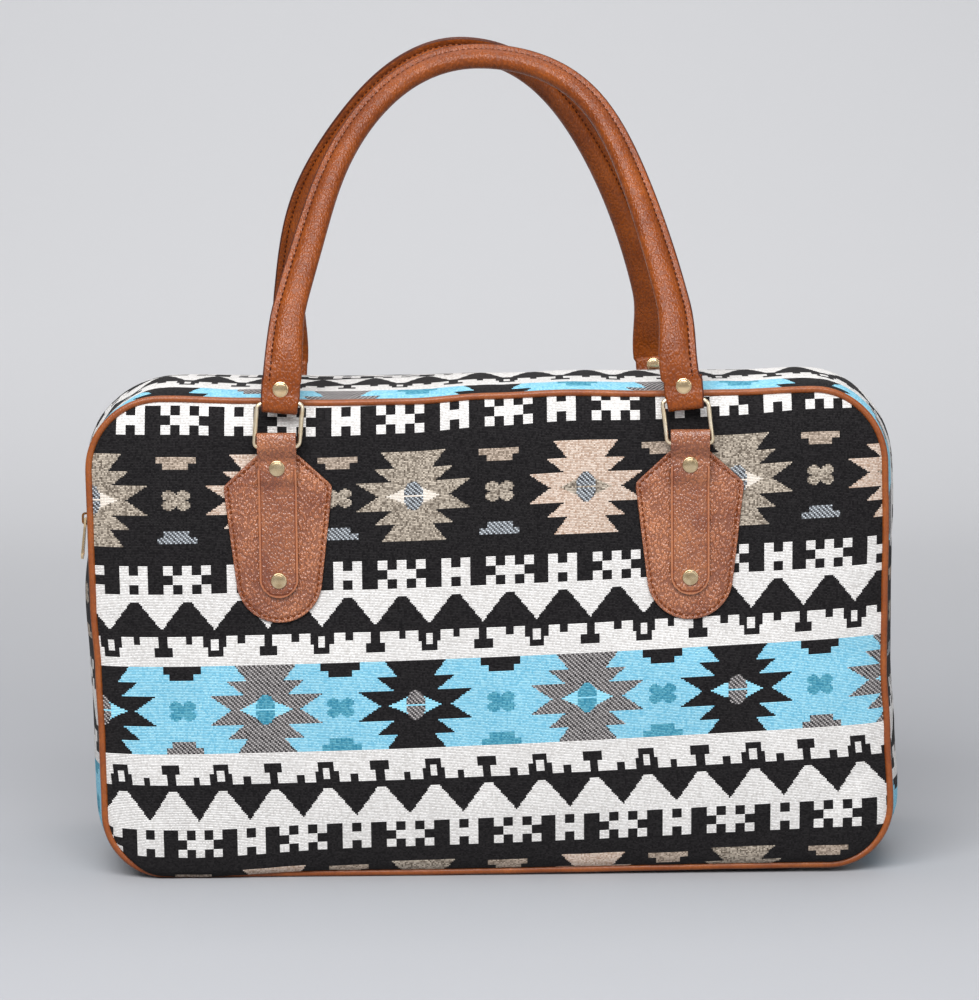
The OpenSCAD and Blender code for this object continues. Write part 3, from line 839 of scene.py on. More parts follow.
def arch_station(a, rise, slump, bows):
    """A station of the arch: middle, outward direction, facing, width, roll and thickness of the strap."""
    p, outward, front = handle_frame(a, rise, slump, bows)
    up = math.sin(a) - (EYE_TOP_Z - RING_TOP_Z) / rise
    w = 0.0208 + (STRAP_W - 0.0208) * (1 - ease(up * 4))
    w += (HANDLE_TOP_W + 0.002 - w) * ease((up - 0.2) / 0.6)
    roll = ease((up + 0.012) * 9) * (0.62 + 0.38 * ease(up * 1.6))
    step = 0.0013 * (1 - ease((up + 0.01) * 14))
    return p + front * step, outward, front, w, roll, LEATHER + 0.0012 * ease(up * 8)


def make_handle(name, side, shift, rise, slump, bows):
    start = math.asin((EYE_TOP_Z - 0.001 - RING_TOP_Z) / rise)
    turns = [start + (math.pi - 2 * start) * k / ARCH_STEPS for k in range(ARCH_STEPS + 1)]
    stations = eye_stations(1) + [arch_station(a, rise, slump, bows) for a in turns] + eye_stations(-1)[::-1]
    around = 2 * RIM_MIDDLE
    rows = len(stations) - 1

    def place(p, q):
        n = round(p * around) % around
        middle, outward, front, w, roll, thick = stations[round(q * rows)]
        e = section_places(w)[n if n <= RIM_MIDDLE else around - n]
        h = section_height(e, w, roll, thick)
        at = middle + outward * (w / 2 - e) + front * (h if n <= RIM_MIDDLE else -h)
        return Vector((at.x + shift, at.y if side < 0 else -at.y, at.z))

    obj = sheet_from_grid(f"{name}_handle_leather", around, rows, place)
    close_tube(obj)
    stand_in(obj, f"{name}_handle", f"{name}_handle")
    return obj, stations


handles, handle_stations = zip(*(make_handle(*handle) for handle in HANDLES))
print("handles:", len(handles[0].data.polygons), "faces each")

# %% [markdown]
# ## Rings
# The rings are bent from round wire. A handle's pull tips each of them a little towards the middle of the
# bag, so the closed curve of the wire is tipped before it is given its thickness.

# %% Rings
WIRE_R, BEND_R = 0.0014, 0.0031


def make_ring(name, x, side, tip):
    low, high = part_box(name)
    half = (high[0] - low[0]) / 2 - 0.0015
    corners = ((half, RING_TOP_Z, 0), (-half, RING_TOP_Z, 90),
               (-half, RING_LOW_Z, 180), (half, RING_LOW_Z, 270))
    wire = []
    for cx, cz, start in corners:
        cx, cz = math.copysign(half - BEND_R, cx), cz + (-BEND_R if cz == RING_TOP_Z else BEND_R)
        turns = [math.radians(start + 15 * k) for k in range(7)]
        wire += [Vector((cx + BEND_R * math.cos(a), cz + BEND_R * math.sin(a))) for a in turns]
    points = [Vector((x + p.x + tip * (p.y - RING_LOW_Z), side * RING_Y, p.y))
              for p, _ in evenly(wire, 80)[0]]
    return stand_in(closed_tube(f"{name}_wire", points, WIRE_R, 5), name, name)


rings = [make_ring(f"{f}_{s}_ring", x, side, 0.089 if s == "left" else -0.12) for f, s, side, x in ENDS]
print("rings:", len(rings), "with", len(rings[0].data.polygons), "faces each")

# %% [markdown]
# ## Stitches
# Leather is sewn with thick waxed thread, and each stitch shows as a short plump dash. One is modelled
# from a small sphere and laid again and again along each seam, as one mesh for each seam.

# %% Stitches


def model_stitch(length, width):
    """One stitch along X, as points and faces."""
    bpy.ops.object.select_all(action="DESELECT")
    bpy.ops.mesh.primitive_uv_sphere_add(segments=8, ring_count=6, radius=0.5)
    seed = bpy.context.object
    bpy.ops.object.mode_set(mode="EDIT")
    bpy.ops.mesh.select_all(action="SELECT")
    bpy.ops.transform.rotate(value=math.pi / 2, orient_axis="Y", center_override=(0, 0, 0))
    bpy.ops.transform.resize(value=(length, width, width * 0.8))
    bpy.ops.object.mode_set(mode="OBJECT")
    points = [v.co.copy() for v in seed.data.vertices]
    faces = [tuple(f.vertices) for f in seed.data.polygons]
    bpy.data.objects.remove(seed)
    return points, faces


STITCH, PITCH = model_stitch(0.0024, 0.0011), 0.0038


def new_piece(name, points, faces):
    """An object with a mesh of its own, from points and faces."""
    mesh = bpy.data.meshes.new(name)
    mesh.from_pydata(points, [], faces)
    obj = bpy.data.objects.new(name, mesh)
    bpy.context.scene.collection.objects.link(obj)
    return obj


def sew(name, places, body, seed=STITCH):
    """Lays a stitch at each place: its middle, its direction and the way it faces."""
    points, faces = [], []
    for middle, direction, facing in places:
        x = direction.normalized()
        y = facing.cross(x).normalized()
        turn = Matrix((x, y, x.cross(y))).transposed()
        base = len(points)
        points += [turn @ p + middle for p in seed[0]]
        faces += [tuple(base + i for i in f) for f in seed[1]]
    obj = new_piece(name, points, faces)
    smooth(obj)
    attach(obj, body)
    return obj


threads = []
for f, s, side, x in ENDS:
    seam = [inwards(p, 0.0025) for p, _ in evenly(shield(), 400)[0]]
    spots, _ = evenly(seam, round(evenly(seam, 2)[1] / PITCH))
    level = side * (PLATEAU_Y + 0.0017)
    beside = [(p, d) for p, d in spots if not (abs(p.x) < STRAP_W / 2 and p.y > 0.2)]
    places = [(Vector((x + p.x, level, p.y)), Vector((d.x, 0, d.y)), Vector((0, side, 0))) for p, d in beside]
    threads.append(sew(f"{f}_{s}_patch_stitches", places, "bag"))
print("patch stitches:", sum(len(t.data.polygons) for t in threads) // len(STITCH[1]))

# %% [markdown]
# The rolled handles are sewn along the rim, through both layers, so their stitches show on both faces.
# Each seam follows the stations of its handle, at the line where the rim meets the roll.

# %% Stitches of the handles
for (name, side, shift, *_), stations in zip(HANDLES, handle_stations):
    rim = [(m + o * (w / 2 - RIM), f, section_height(RIM, w, roll, t))
           for m, o, f, w, roll, t in stations if m.z > EYE_TOP_Z - 0.002]
    count = round(evenly([r[0] for r in rim], 2, closed=False)[1] / PITCH)
    places = []
    for face in (1, -1):
        line = [m + f * face * h for m, f, h in rim]
        for p, d in evenly(line, count, closed=False)[0][1:-1]:
            near = min(rim, key=lambda r: (r[0] - p).length)
            at, out = p + near[1] * face * 0.0004, near[1] * face
            if side > 0:
                at, d, out = (Vector((q.x, -q.y, q.z)) for q in (at, d, out))
            places.append((at + Vector((shift, 0, 0)), d, out))
    threads.append(sew(f"{name}_handle_stitches", places, f"{name}_handle"))
print("stitched pieces:", len(threads))

# %% [markdown]
# ## Rivets
# Each rivet is a flat-domed cap with a rounded rim, pressed from sheet metal. A short cylinder is inset
# ring by ring: first the rim is rounded, then a shallow groove sets off the dome. It is modelled once and
# copied.

# %% Rivets
RIVET_R = 0.005
# Millimetres: how far each ring of the cap is inset from the last, and how far it rises.
CAP_RINGS = ((0.12, 0.22), (0.2, 0.18), (0.3, 0.08), (0.3, -0.08), (0.3, 0.1), (0.7, 0.16), (1.0, 0.14),
             (1.0, 0.08), (0.6, 0.02))


def model_rivet():
    bpy.ops.object.select_all(action="DESELECT")
    bpy.ops.mesh.primitive_cylinder_add(vertices=48, radius=RIVET_R, depth=0.0008,
                                        rotation=(math.pi / 2, 0, 0))
    bpy.ops.object.transform_apply(rotation=True)
    seed = bpy.context.object
    bpy.ops.object.mode_set(mode="EDIT")
    bpy.ops.mesh.select_mode(type="FACE")
    bpy.ops.mesh.select_all(action="DESELECT")
    bpy.ops.object.mode_set(mode="OBJECT")
    for f in seed.data.polygons:
        f.select = f.normal.y < -0.9
    bpy.ops.object.mode_set(mode="EDIT")
    for inset, rise in CAP_RINGS:
        bpy.ops.mesh.inset(thickness=0.001 * inset)
        bpy.ops.transform.translate(value=(0, -0.001 * rise, 0))
    bpy.ops.object.mode_set(mode="OBJECT")
    return seed


rivet_seed = model_rivet()


def set_rivets(name, spots, body, replaced):
    """Copies of the cap at each spot: its place, and the way it faces, -1 to the front and 1 to the back."""
    points, faces = [], []
    for spot, way in spots:
        base = len(points)
        points += [Vector((v.co.x * -way, -v.co.y * way, v.co.z)) + spot for v in rivet_seed.data.vertices]
        faces += [tuple(base + i for i in f.vertices) for f in rivet_seed.data.polygons]
    obj = only(new_piece(name, points, faces))
    bpy.ops.object.shade_smooth_by_angle(angle=math.radians(40))
    return stand_in(obj, body, replaced)


chape_rivets, handle_rivets = [], []
for f, s, side, x in ENDS:
    top = Vector((x, side * (PLATEAU_Y + 3 * LEATHER + 0.0003), 0.263))
    low = Vector((x, side * (PLATEAU_Y + 2 * LEATHER + 0.0005), CHAPE_END_Z + 0.011))
    chape_rivets.append(set_rivets(f"{f}_{s}_chape_rivet_caps", [(top, side), (low, side)], "bag",
                                   f"{f}_{s}_chape_rivets"))
for f, side, shift in SIDES:
    spots = []
    for end in (-1, 1):
        x = shift + end * HANDLE_HALF_SPAN + pull(end, EYE_RIVET_Z)
        spots += [(Vector((x, side * RING_Y + way * 0.0027, EYE_RIVET_Z)), way) for way in (-1, 1)]
    handle_rivets.append(set_rivets(f"{f}_handle_rivet_caps", spots, f"{f}_handle",
                                    f"{f}_handle_rivets"))
bpy.data.objects.remove(rivet_seed)
print("rivet pieces:", len(chape_rivets) + len(handle_rivets))

# %% [markdown]
# ## Zip
# Under the turned cloth edges lie two woven tapes, each with a row of moulded coil along its inner edge.
# The tapes are grids along the outline; the coil is one small bead, modelled once and laid along the
# line.

# %% Zip
def make_tape(name, side, replaced):
    ys = [side * y for y in (0.0156, 0.011, 0.007, 0.004, 0.0012)]
    columns, rows = len(HIGH_ROUTE) - 1, len(ys) - 1

    def place(p, q):
        x, z, nx, nz = HIGH_ROUTE[round(p * columns)]
        y = ys[round(q * rows)]
        lift = bulge_of(ZIP_HALF_GAP, nx, nz) - 0.0036
        return slouch(Vector((x + nx * lift, y, z + nz * lift)))

    obj = sheet_from_grid(name, columns, rows, place)
    finish_strap(obj, 0.0008)
    return stand_in(obj, "bag", replaced)


tapes = [make_tape(f"zip_tape_weave_{f}", side, f"zip_tape_{f}") for f, side, _ in SIDES]
BEAD = model_stitch(0.0034, 0.0013)
beads = []
BEAD_PITCH = 0.0017
zip_line = [Vector((x, z)) for x, z, _, _ in HIGH_ROUTE]
spots, _ = evenly(zip_line, int(2 * half_route / BEAD_PITCH), closed=False)
for (x, z), (along_x, along_z) in spots:
    nx, nz = along_z, -along_x
    lift = bulge_of(ZIP_HALF_GAP, nx, nz) - 0.0026
    for side in (-1, 1):
        shift = 0.0004 * side
        p = slouch(Vector((x + nx * lift + shift * nz, side * 0.0013, z + nz * lift - shift * nx)))
        beads.append((p, Vector((0, 1, 0)), Vector((nx, 0, nz))))
coil = sew("zip_coil", beads, "bag", seed=BEAD)
print("zip beads:", len(beads))

# %% [markdown]
# ## Colours and one way to add nodes
# Colours are given as sRGB hex values and turned to linear for the shader. Every node is added by
# the same small function: it sets what is given and links what is a socket.

# %% Colour and node helpers


def colour(code):
    """An sRGB hex value as linear RGBA."""
    parts = [int(code[i:i + 2], 16) / 255 for i in (1, 3, 5)]
    return tuple(c / 12.92 if c < 0.04045 else ((c + 0.055) / 1.055) ** 2.4 for c in parts) + (1.0,)


tree = None


def add(kind, *inputs, out=0, named=None, **settings):
    """Adds a node, whose kind may name an operation too. Inputs are set or linked, in order or by name."""
    kind, _, operation = kind.partition(" ")
    node = tree.nodes.new("ShaderNode" + kind)
    if operation:
        node.operation = operation
    for key, value in settings.items():
        setattr(node, key, value)
    pairs = list(enumerate(inputs)) + list((named or {}).items())
    for key, value in pairs:
        if value is None:
            continue
        if isinstance(value, bpy.types.NodeSocket):
            tree.links.new(value, node.inputs[key])
        else:
            node.inputs[key].default_value = value
    return node.outputs[out] if node.outputs else node


def begin(name):
    """A new material with an empty tree, which the next nodes go to."""
    global tree
    material = bpy.data.materials.new(name)
    material.use_nodes = True
    tree = material.node_tree
    tree.nodes.clear()
    return material


def dress(material, *pieces):
    for piece in pieces:
        piece.data.materials.clear()
        piece.data.materials.append(material)


print("node helpers ready")

# %% [markdown]
# ## Woven cloth
# The cloth is a jacquard: every figure is made by which coloured yarn lies on top, so edges step from
# thread to thread. The shader reads the flat place of the cloth in millimetres, rounds it to single
# threads, and then draws the rows as plain shapes: bars, triangles, stepped stars. Rows repeat by
# mirroring about the middle of the black band and of the blue band, and figures repeat along the row.

# %% Cloth: threads and rows
woven = begin("woven jacquard cotton")
# The real threads are about half as wide: they are drawn coarser, in millimetres, so that they show.
THREAD, CROSS_THREAD = 1.0, 0.8
flat = add("VectorMath SCALE", add("UVMap", uv_map="Weave"), named={3: 1000.0})
thread = add("VectorMath SNAP", flat, (THREAD, THREAD, THREAD))
U, V, _ = add("SeparateXYZ", thread).node.outputs
HALF_REPEAT = 134.0
from_black = add("Math PINGPONG", V, HALF_REPEAT)
from_band = add("Math MINIMUM", from_black, add("Math SUBTRACT", HALF_REPEAT, from_black))
in_black = add("Math LESS_THAN", from_black, 41.0)
in_blue = add("Math GREATER_THAN", from_black, 106.0)
turn = add("Math FLOORED_MODULO", V, 2 * HALF_REPEAT)
first_half = add("Math LESS_THAN", turn, HALF_REPEAT)
PERIOD = 67.6
H_AT, STAR_AT, STAR_TWO_AT = -23.7, -49.6, 58.5
print("rows repeat every", 2 * HALF_REPEAT, "mm, figures every", PERIOD, "mm")

# %% [markdown]
# The narrow rows first: an H and a five-by-three cross take turns, white on black; next to them triangles
# stand on a black strip; and from the strip's other side hang small figures like keys.

# %% Cloth: figures of the narrow rows
CELL = 6.0


def both(*masks):
    """Where all masks are 1."""
    result = masks[0]
    for mask in masks[1:]:
        result = add("Math MULTIPLY", result, mask)
    return result


def either(*masks):
    """Where any mask is 1."""
    result = masks[0]
    for mask in masks[1:]:
        result = add("Math MAXIMUM", result, mask)
    return result


def between(value, low, high):
    """1 where the value lies between two limits."""
    return both(add("Math GREATER_THAN", value, low), add("Math LESS_THAN", value, high))


def distance(place, period):
    """Distance along the row to the nearest figure."""
    return add("Math PINGPONG", add("Math SUBTRACT", U, place), period / 2)


from_letter = distance(H_AT, PERIOD)
from_cross = add("Math SUBTRACT", PERIOD / 2, from_letter)
figure_row = between(from_black, 41.5, 59.5)
middle = between(from_black, 47.5, 53.5)
outer = add("Math SUBTRACT", 1.0, middle)
letter = both(add("Math LESS_THAN", from_letter, 1.5 * CELL),
              either(middle, add("Math GREATER_THAN", from_letter, 0.5 * CELL)))
cross_middle = both(middle, add("Math LESS_THAN", from_cross, 1.5 * CELL))
cross_outer = both(outer, either(add("Math LESS_THAN", from_cross, 0.5 * CELL),
                                 between(from_cross, 1.5 * CELL, 2.5 * CELL)))
white_figures = both(figure_row, either(letter, cross_middle, cross_outer))

from_tooth = distance(H_AT, PERIOD / 2)
blunt = add("Math MULTIPLY_ADD", first_half, -2.6, 2.6)
slope = add("Math MULTIPLY_ADD", add("Math SUBTRACT", from_black, 64.5), 0.8, blunt)
triangles = both(between(from_black, 64.5, 82.6), add("Math LESS_THAN", from_tooth, slope))

from_strip = add("Math SUBTRACT", from_black, 87.0)
key = distance(H_AT - PERIOD / 4, PERIOD)
anchor = add("Math SUBTRACT", PERIOD / 2, key)
stems = between(from_strip, -0.5, 6.8)
feet = between(from_strip, 6.8, 12.7)
tick = both(between(from_strip, -0.5, 4.5), add("Math LESS_THAN", from_tooth, 2.3))
hole = both(between(from_strip, 1.6, 8.4), add("Math LESS_THAN", key, 2.2))
keys = either(both(stems, add("Math LESS_THAN", key, 7.4)), both(feet, add("Math LESS_THAN", key, 4.9)))
hanging = either(tick, both(keys, add("Math SUBTRACT", 1.0, hole)),
                 both(stems, add("Math LESS_THAN", anchor, 2.7)),
                 both(feet, add("Math LESS_THAN", anchor, 5.8)))
print("narrow rows drawn")

# %% [markdown]
# The broad bands carry stars with saw-tooth sides. A colour ramp holds the star's half width from its
# waist to its tip, and the distance from the nearest star along the row is compared with it. Each star
# has a light diamond with a darker heart, and between the stars stand a stepped trapezium at each edge
# and a bow tie in the middle.

# %% Cloth: stars of the broad bands
star_ramp = add("ValToRGB", add("Math DIVIDE", from_band, 30.0))
ramp = star_ramp.node.color_ramp
WIDEST = 40.0
# How far from the waist to the tip, and the half width of the star there in millimetres.
STAR_WIDTHS = ((0.0, 22.2), (0.322, 36.4), (0.324, 14.0), (0.622, 25.0), (0.624, 11.8), (0.972, 20.0))
while len(ramp.elements) < len(STAR_WIDTHS):
    ramp.elements.new(0.5)
for element, (place, half) in zip(ramp.elements, STAR_WIDTHS):
    element.position = place
    element.color = (half / WIDEST, half / WIDEST, half / WIDEST, 1)
star_half = add("Math MULTIPLY", star_ramp, WIDEST)
star_zone = both(either(in_black, in_blue), add("Math LESS_THAN", from_band, 29.4))


def oval(across, x, half_x, y, half_y):
    """1 inside an oval about (x, y), across the figure and away from the band's middle."""
    u = add("Math DIVIDE", add("Math SUBTRACT", across, x), half_x)
    v = add("Math DIVIDE", add("Math SUBTRACT", from_band, y), half_y)
    size = add("Math MULTIPLY_ADD", u, u, add("Math MULTIPLY", v, v))
    return add("Math LESS_THAN", size, 1.0)


stars, diamonds, hearts = [], [], []
for place in (STAR_AT, STAR_TWO_AT):
    from_star = distance(place, 3 * PERIOD)
    stars.append(both(star_zone, add("Math LESS_THAN", from_star, star_half)))
    wide = add("Math MULTIPLY_ADD", from_star, 1 / 16.5, add("Math MULTIPLY", from_band, 1 / 8.0))
    diamonds.append(both(star_zone, add("Math LESS_THAN", wide, 1.0)))
    split = add("Math GREATER_THAN", from_band, 0.8)
    hearts.append(both(star_zone, oval(from_star, 0.0, 6.2, 0.0, 9.6), split))
from_step = distance(STAR_AT + 54.0, 1.5 * PERIOD)
steps = either(both(between(from_band, 23.6, 28.6), add("Math LESS_THAN", from_step, 12.6)),
               both(between(from_band, 19.4, 23.7), add("Math LESS_THAN", from_step, 7.8)))
steps = both(steps, either(both(in_black, add("Math LESS_THAN", from_band, 27.8)), in_blue))
bow = either(oval(from_step, 4.5, 4.2, 3.0, 3.2), oval(from_step, 0.0, 4.6, 0.0, 3.4))
bow = both(either(in_black, in_blue), bow)
upper = either(both(in_black, first_half), both(in_blue, add("Math SUBTRACT", 1.0, first_half)))
lower = add("Math SUBTRACT", 1.0, upper)
print("stars drawn")

# %% [markdown]
# Every colour of the cloth is a blend of two yarns, so each layer below has a darker and a lighter shade,
# and a random value for each thread chooses between them. Each layer covers those before it, like cut
# paper.

# %% Cloth: colours
BLACK, WHITE = ("#0e0c0e", "#252324"), ("#c5c2bf", "#e9e7e5")
BLUE, PALE_BLUE, TEAL = ("#6bb1cd", "#9cd3e5"), ("#80c9e3", "#a2dcec"), ("#2f7d99", "#62a9bd")
GREY, TAUPE, PINK = ("#211f21", "#bab5b4"), ("#5c5248", "#c4b8a8"), ("#a98e7b", "#dccbbd")
CREAM, HATCH, ROSE = ("#d5cabd", "#ebe3d8"), ("#29282c", "#c2c9cf"), ("#75675a", "#c3b2a2")
MARLED = (GREY, HATCH)
grey_steps = add("Math LESS_THAN", distance(-186.0, 6 * PERIOD), 50.0)
layers = [
    (add("Math GREATER_THAN", from_black, 59.5), WHITE), (between(from_black, 82.4, 87.0), BLACK),
    (in_blue, BLUE), (white_figures, WHITE), (triangles, BLACK), (hanging, BLACK),
    (both(in_black, stars[0]), TAUPE), (both(in_black, stars[1]), PINK),
    (both(in_blue, stars[0]), BLACK), (both(in_blue, stars[1]), GREY),
    (both(in_black, diamonds[0]), CREAM), (both(in_black, diamonds[1]), TAUPE),
    (both(in_black, either(*hearts)), HATCH), (both(in_blue, either(*diamonds)), PALE_BLUE),
    (both(in_blue, hearts[0]), GREY), (both(in_blue, hearts[1]), TEAL),
    (both(in_black, steps, upper), ROSE), (both(in_black, steps, lower), HATCH), (both(in_black, bow), TAUPE),
    (both(in_blue, steps, upper), BLACK), (both(in_blue, steps, lower), TEAL), (both(in_blue, bow), TEAL),
    (both(in_blue, steps, lower, grey_steps), GREY),
]
shades = []
for shade in (0, 1):
    result = colour(BLACK[shade])
    for mask, yarn in layers:
        result = add("Mix", named={0: mask, 6: result, 7: colour(yarn[shade])}, out=2, data_type="RGBA")
    shades.append(result)
marl = 0.0
for mask, yarn in layers:
    marl = add("Mix", named={0: mask, 2: marl, 3: 1.0 if yarn in MARLED else 0.0}, data_type="FLOAT")
print("cloth:", len(layers), "layers of colour")

# %% [markdown]
# Cotton is matt and shows its weave as fine ribs. Grey and the hatched figures are marled: there two
# yarns cross in a twill, which the eye sees as short slanting dashes. The ribs darken the colour between
# them and the gaps between the threads are drawn dark, both as painted shade; the ribs also go to the
# bump, so that they catch the light.

# %% Cloth: yarn and ribs
fleck = add("TexWhiteNoise", thread, noise_dimensions="3D")
twill = add("Math FLOORED_MODULO", add("Math ADD", U, V), 3 * THREAD)
twill = add("Math GREATER_THAN", twill, 1.5 * THREAD)
crossed = add("Math MULTIPLY_ADD", fleck, 0.3, add("Math MULTIPLY", twill, 0.7))
yarn = add("Mix", named={0: marl, 2: fleck, 3: crossed}, data_type="FLOAT")
yarn_colour = add("Mix", named={0: yarn, 6: shades[0], 7: shades[1]}, out=2, data_type="RGBA")
flat_u, flat_v, _ = add("SeparateXYZ", flat).node.outputs
rib = add("Math ABSOLUTE", add("Math SINE", add("Math MULTIPLY", flat_v, math.pi / THREAD)))
cross_rib = add("Math ABSOLUTE", add("Math SINE", add("Math MULTIPLY", flat_u, math.pi / CROSS_THREAD)))
relief = add("Math MULTIPLY", rib, add("Math MULTIPLY_ADD", cross_rib, 0.35, 0.65))
patchy = add("TexNoise", flat, named={"Scale": 0.03, "Detail": 3.0})
# Painted shade: the colour is darker between the ribs.
level = add("Math MULTIPLY_ADD", relief, 0.42, 0.70)
# Painted shade in the gaps between threads.
thread_gap_shade = both(add("Math LESS_THAN", relief, 0.3), add("Math GREATER_THAN", fleck, 0.55))
level = add("Math MULTIPLY_ADD", thread_gap_shade, -0.22, level)
# Slow noise gives the cloth's uneven tone.
level = add("Math MULTIPLY", level, add("Math MULTIPLY_ADD", patchy, 0.2, 0.9))
cloth_colour = add("VectorMath SCALE", yarn_colour, named={3: level})
cloth_bump = add("Bump", named={"Strength": 0.6, "Distance": 0.0005, "Height": relief})
cotton = {"Base Color": cloth_colour, "Roughness": 0.9, "Specular IOR Level": 0.15, "Sheen Weight": 0.03,
          "Sheen Roughness": 0.5, "Normal": cloth_bump}
add("OutputMaterial", add("BsdfPrincipled", named=cotton))
dress(woven, front_cloth, back_cloth, lower_cloth, front_strip, back_strip)
print("cloth:", len(tree.nodes), "nodes")

# %% [markdown]
# ## Leather
# The trim is tan cowhide with an embossed pebble grain: rounded cells of little more than a millimetre,
# longer than they are wide, with creases between them and a bright point on each top. A smooth
# Voronoi pattern gives the cells, noise bends them, and slower noise shifts the colour as dye does. The
# creases are drawn darker, as painted shade. One function makes every hide, because they differ only in
# colour, painted crease shade, grain, relief and shine.

# %% Leather finishes
DYE_CLOUDS = 0.0238


def make_leather(name, dark, light, crease, crease_shading, grain_mm, relief_mm, roughness, gloss):
    """Cowhide from its dye, the colour and strength of the painted shade in its creases, and its grain,
    relief and shine.
    """
    material = begin(name)
    grain = 0.001 * grain_mm
    place = add("TexCoord", out=3)
    warp = add("TexNoise", place, named={"Scale": 0.45 / grain, "Detail": 2.0}, out=1)
    bent = add("VectorMath SUBTRACT", warp, (0.5, 0.5, 0.5))
    bent = add("VectorMath SCALE", bent, named={3: 1.3 * grain})
    bent = add("VectorMath ADD", add("VectorMath MULTIPLY", place, (1.0, 1.0, 0.6)), bent)
    cells = add("TexVoronoi", bent, named={"Scale": 1 / grain, "Smoothness": 0.2}, feature="SMOOTH_F1")
    pebble = add("Math MULTIPLY_ADD", add("Math MULTIPLY", cells, cells), -2.2, 1.0)
    pebble = add("Math MAXIMUM", pebble, 0.0)
    folds = add("TexNoise", bent, named={"Scale": 0.2 / grain, "Detail": 2.0})
    height = add("Math MULTIPLY_ADD", folds, 0.7, pebble)
    dye = add("TexNoise", place, named={"Scale": 1 / DYE_CLOUDS, "Detail": 4.0, "Roughness": 0.6})
    dye = add("MapRange", dye, 0.3, 0.72, 0.0, 1.0)
    hide = add("Mix", named={0: dye, 6: colour(dark), 7: colour(light)}, out=2, data_type="RGBA")
    # Painted shade: the colour darkens from the pebble tops into the creases between them.
    depth = add("MapRange", pebble, 0.0, 0.6, crease_shading, 0.0)
    hide = add("Mix", named={0: depth, 6: hide, 7: colour(crease)}, out=2, data_type="RGBA")
    shine = add("MapRange", pebble, 0.0, 1.0, roughness + 0.2, roughness)
    bump = add("Bump", named={"Strength": 1.0, "Distance": 0.001 * relief_mm, "Height": height})
    add("OutputMaterial", add("BsdfPrincipled", named={"Base Color": hide, "Roughness": shine,
                                                       "Specular IOR Level": gloss, "Normal": bump}))
    return material


# Patches: the full grain, dull and with painted shade in the creases, and bright on the tops.
pebbled = make_leather("pebbled tan cowhide", "#7d3d19", "#b06d45", "#54210e", 0.55, 1.35, 0.56, 0.25, 0.9)
# Straps of the rings: the same hide, pulled flatter.
strap_hide = make_leather("creased strap cowhide", "#773714", "#aa673a", "#52210d", 0.45, 1.35, 0.4, 0.23, 1)
# Cut edges: waxed and rubbed until they are dark and closed, and drawn darker still as the painted shadow
# along a strap's edge.
burnished_and_shadowed = make_leather("burnished cut edge", "#3f1605", "#56230a", "#2e0f03", 0.4, 1.2, 0.05, 0.40, 0.3)
# The line that is pressed along a strap: nearly smooth, and darker than the hide as painted shade in its
# groove.
pressed = make_leather("pressed edge line with painted shade", "#632b0f", "#773a17", "#431705", 0.4, 1.2, 0.05, 0.35, 0.4)
# The outermost edge of a strap, paler than the hide: a painted highlight along the lit edge.
painted_edge_highlight = make_leather("strap edge with painted highlight", "#98552e", "#ad6c42", "#7c3f1d", 0.3, 1.2, 0.10, 0.25, 1.0)
# Handles: grain stretched over the filler, with a soft broad shine.
rolled = make_leather("rolled tan cowhide", "#73340a", "#8f4712", "#4a1c04", 0.35, 1.4, 0.26, 0.22, 0.32)
# Piping: thin hide drawn tight over its cord, almost without grain.
smooth_hide = make_leather("smooth piping hide", "#7b3a10", "#95501e", "#5b280b", 0.3, 1.2, 0.08, 0.28, 0.45)
print("leather:", len(tree.nodes), "nodes in each of seven finishes")

# %% [markdown]
# A strap's edge looks different from its face, so one piece carries several finishes. Some of them are
# painted light: on the straps of the rings, a pale painted highlight along the outer edge, painted shade
# in the pressed line, and dark cut edges that also stand for the shadow beside them. Faces there are
# chosen by their distance from the edge and the way they face. On the handles, the dark cut edge with its
# painted shadow goes on the rim, which is found through the UV map, because U runs once round the section
# and meets the rim half way.

# %% Leather on the pieces
# Metres from a strap's edge: the band that gets edge finishes and, within it, the outer strip with the
# painted highlight; then the height below which they are laid.
EDGE_LINE, HIGHLIT_EDGE, SINGLE_LAYER_Z = 0.0021, 0.0012, 0.262
dress(pebbled, *patches)
dress(strap_hide, *chapes)
dress(rolled, *handles)
dress(smooth_hide, front_cord, back_cord)
edged = 0
for obj, (_, _, side, x) in zip(chapes, ENDS):
    for material in (burnished_and_shadowed, painted_edge_highlight, pressed):
        obj.data.materials.append(material)
    for face in obj.data.polygons:
        low = min(face.center.z - CHAPE_END_Z - STRAP_W / 2, 0.0)
        edge = STRAP_W / 2 - math.hypot(face.center.x - x, low)
        facing = face.normal.y * side
        # Side walls: dark cut edge with painted shadow. Outer strip of the face: painted highlight. The strip
        # inside it: painted shade of the pressed line.
        if face.center.z < SINGLE_LAYER_Z and edge < EDGE_LINE and facing > -0.3:
            face.material_index = 1 if facing < 0.6 else 2 if edge < HIGHLIT_EDGE else 3
            edged += 1
# Painted shadow: the faces at the outer edge of each handle's rim get the dark cut edge.
for obj in handles:
    obj.data.materials.append(burnished_and_shadowed)
    laid = obj.data.uv_layers[0].data
    for face in obj.data.polygons:
        n = sum(laid[k].uv[0] for k in face.loop_indices) / face.loop_total * 2 * RIM_MIDDLE
        face.material_index = int(abs(n - RIM_MIDDLE) < 3)
        edged += face.material_index
print("leather on", len(patches) + len(chapes) + len(handles) + 2, "pieces, with", edged, "faces of edges")

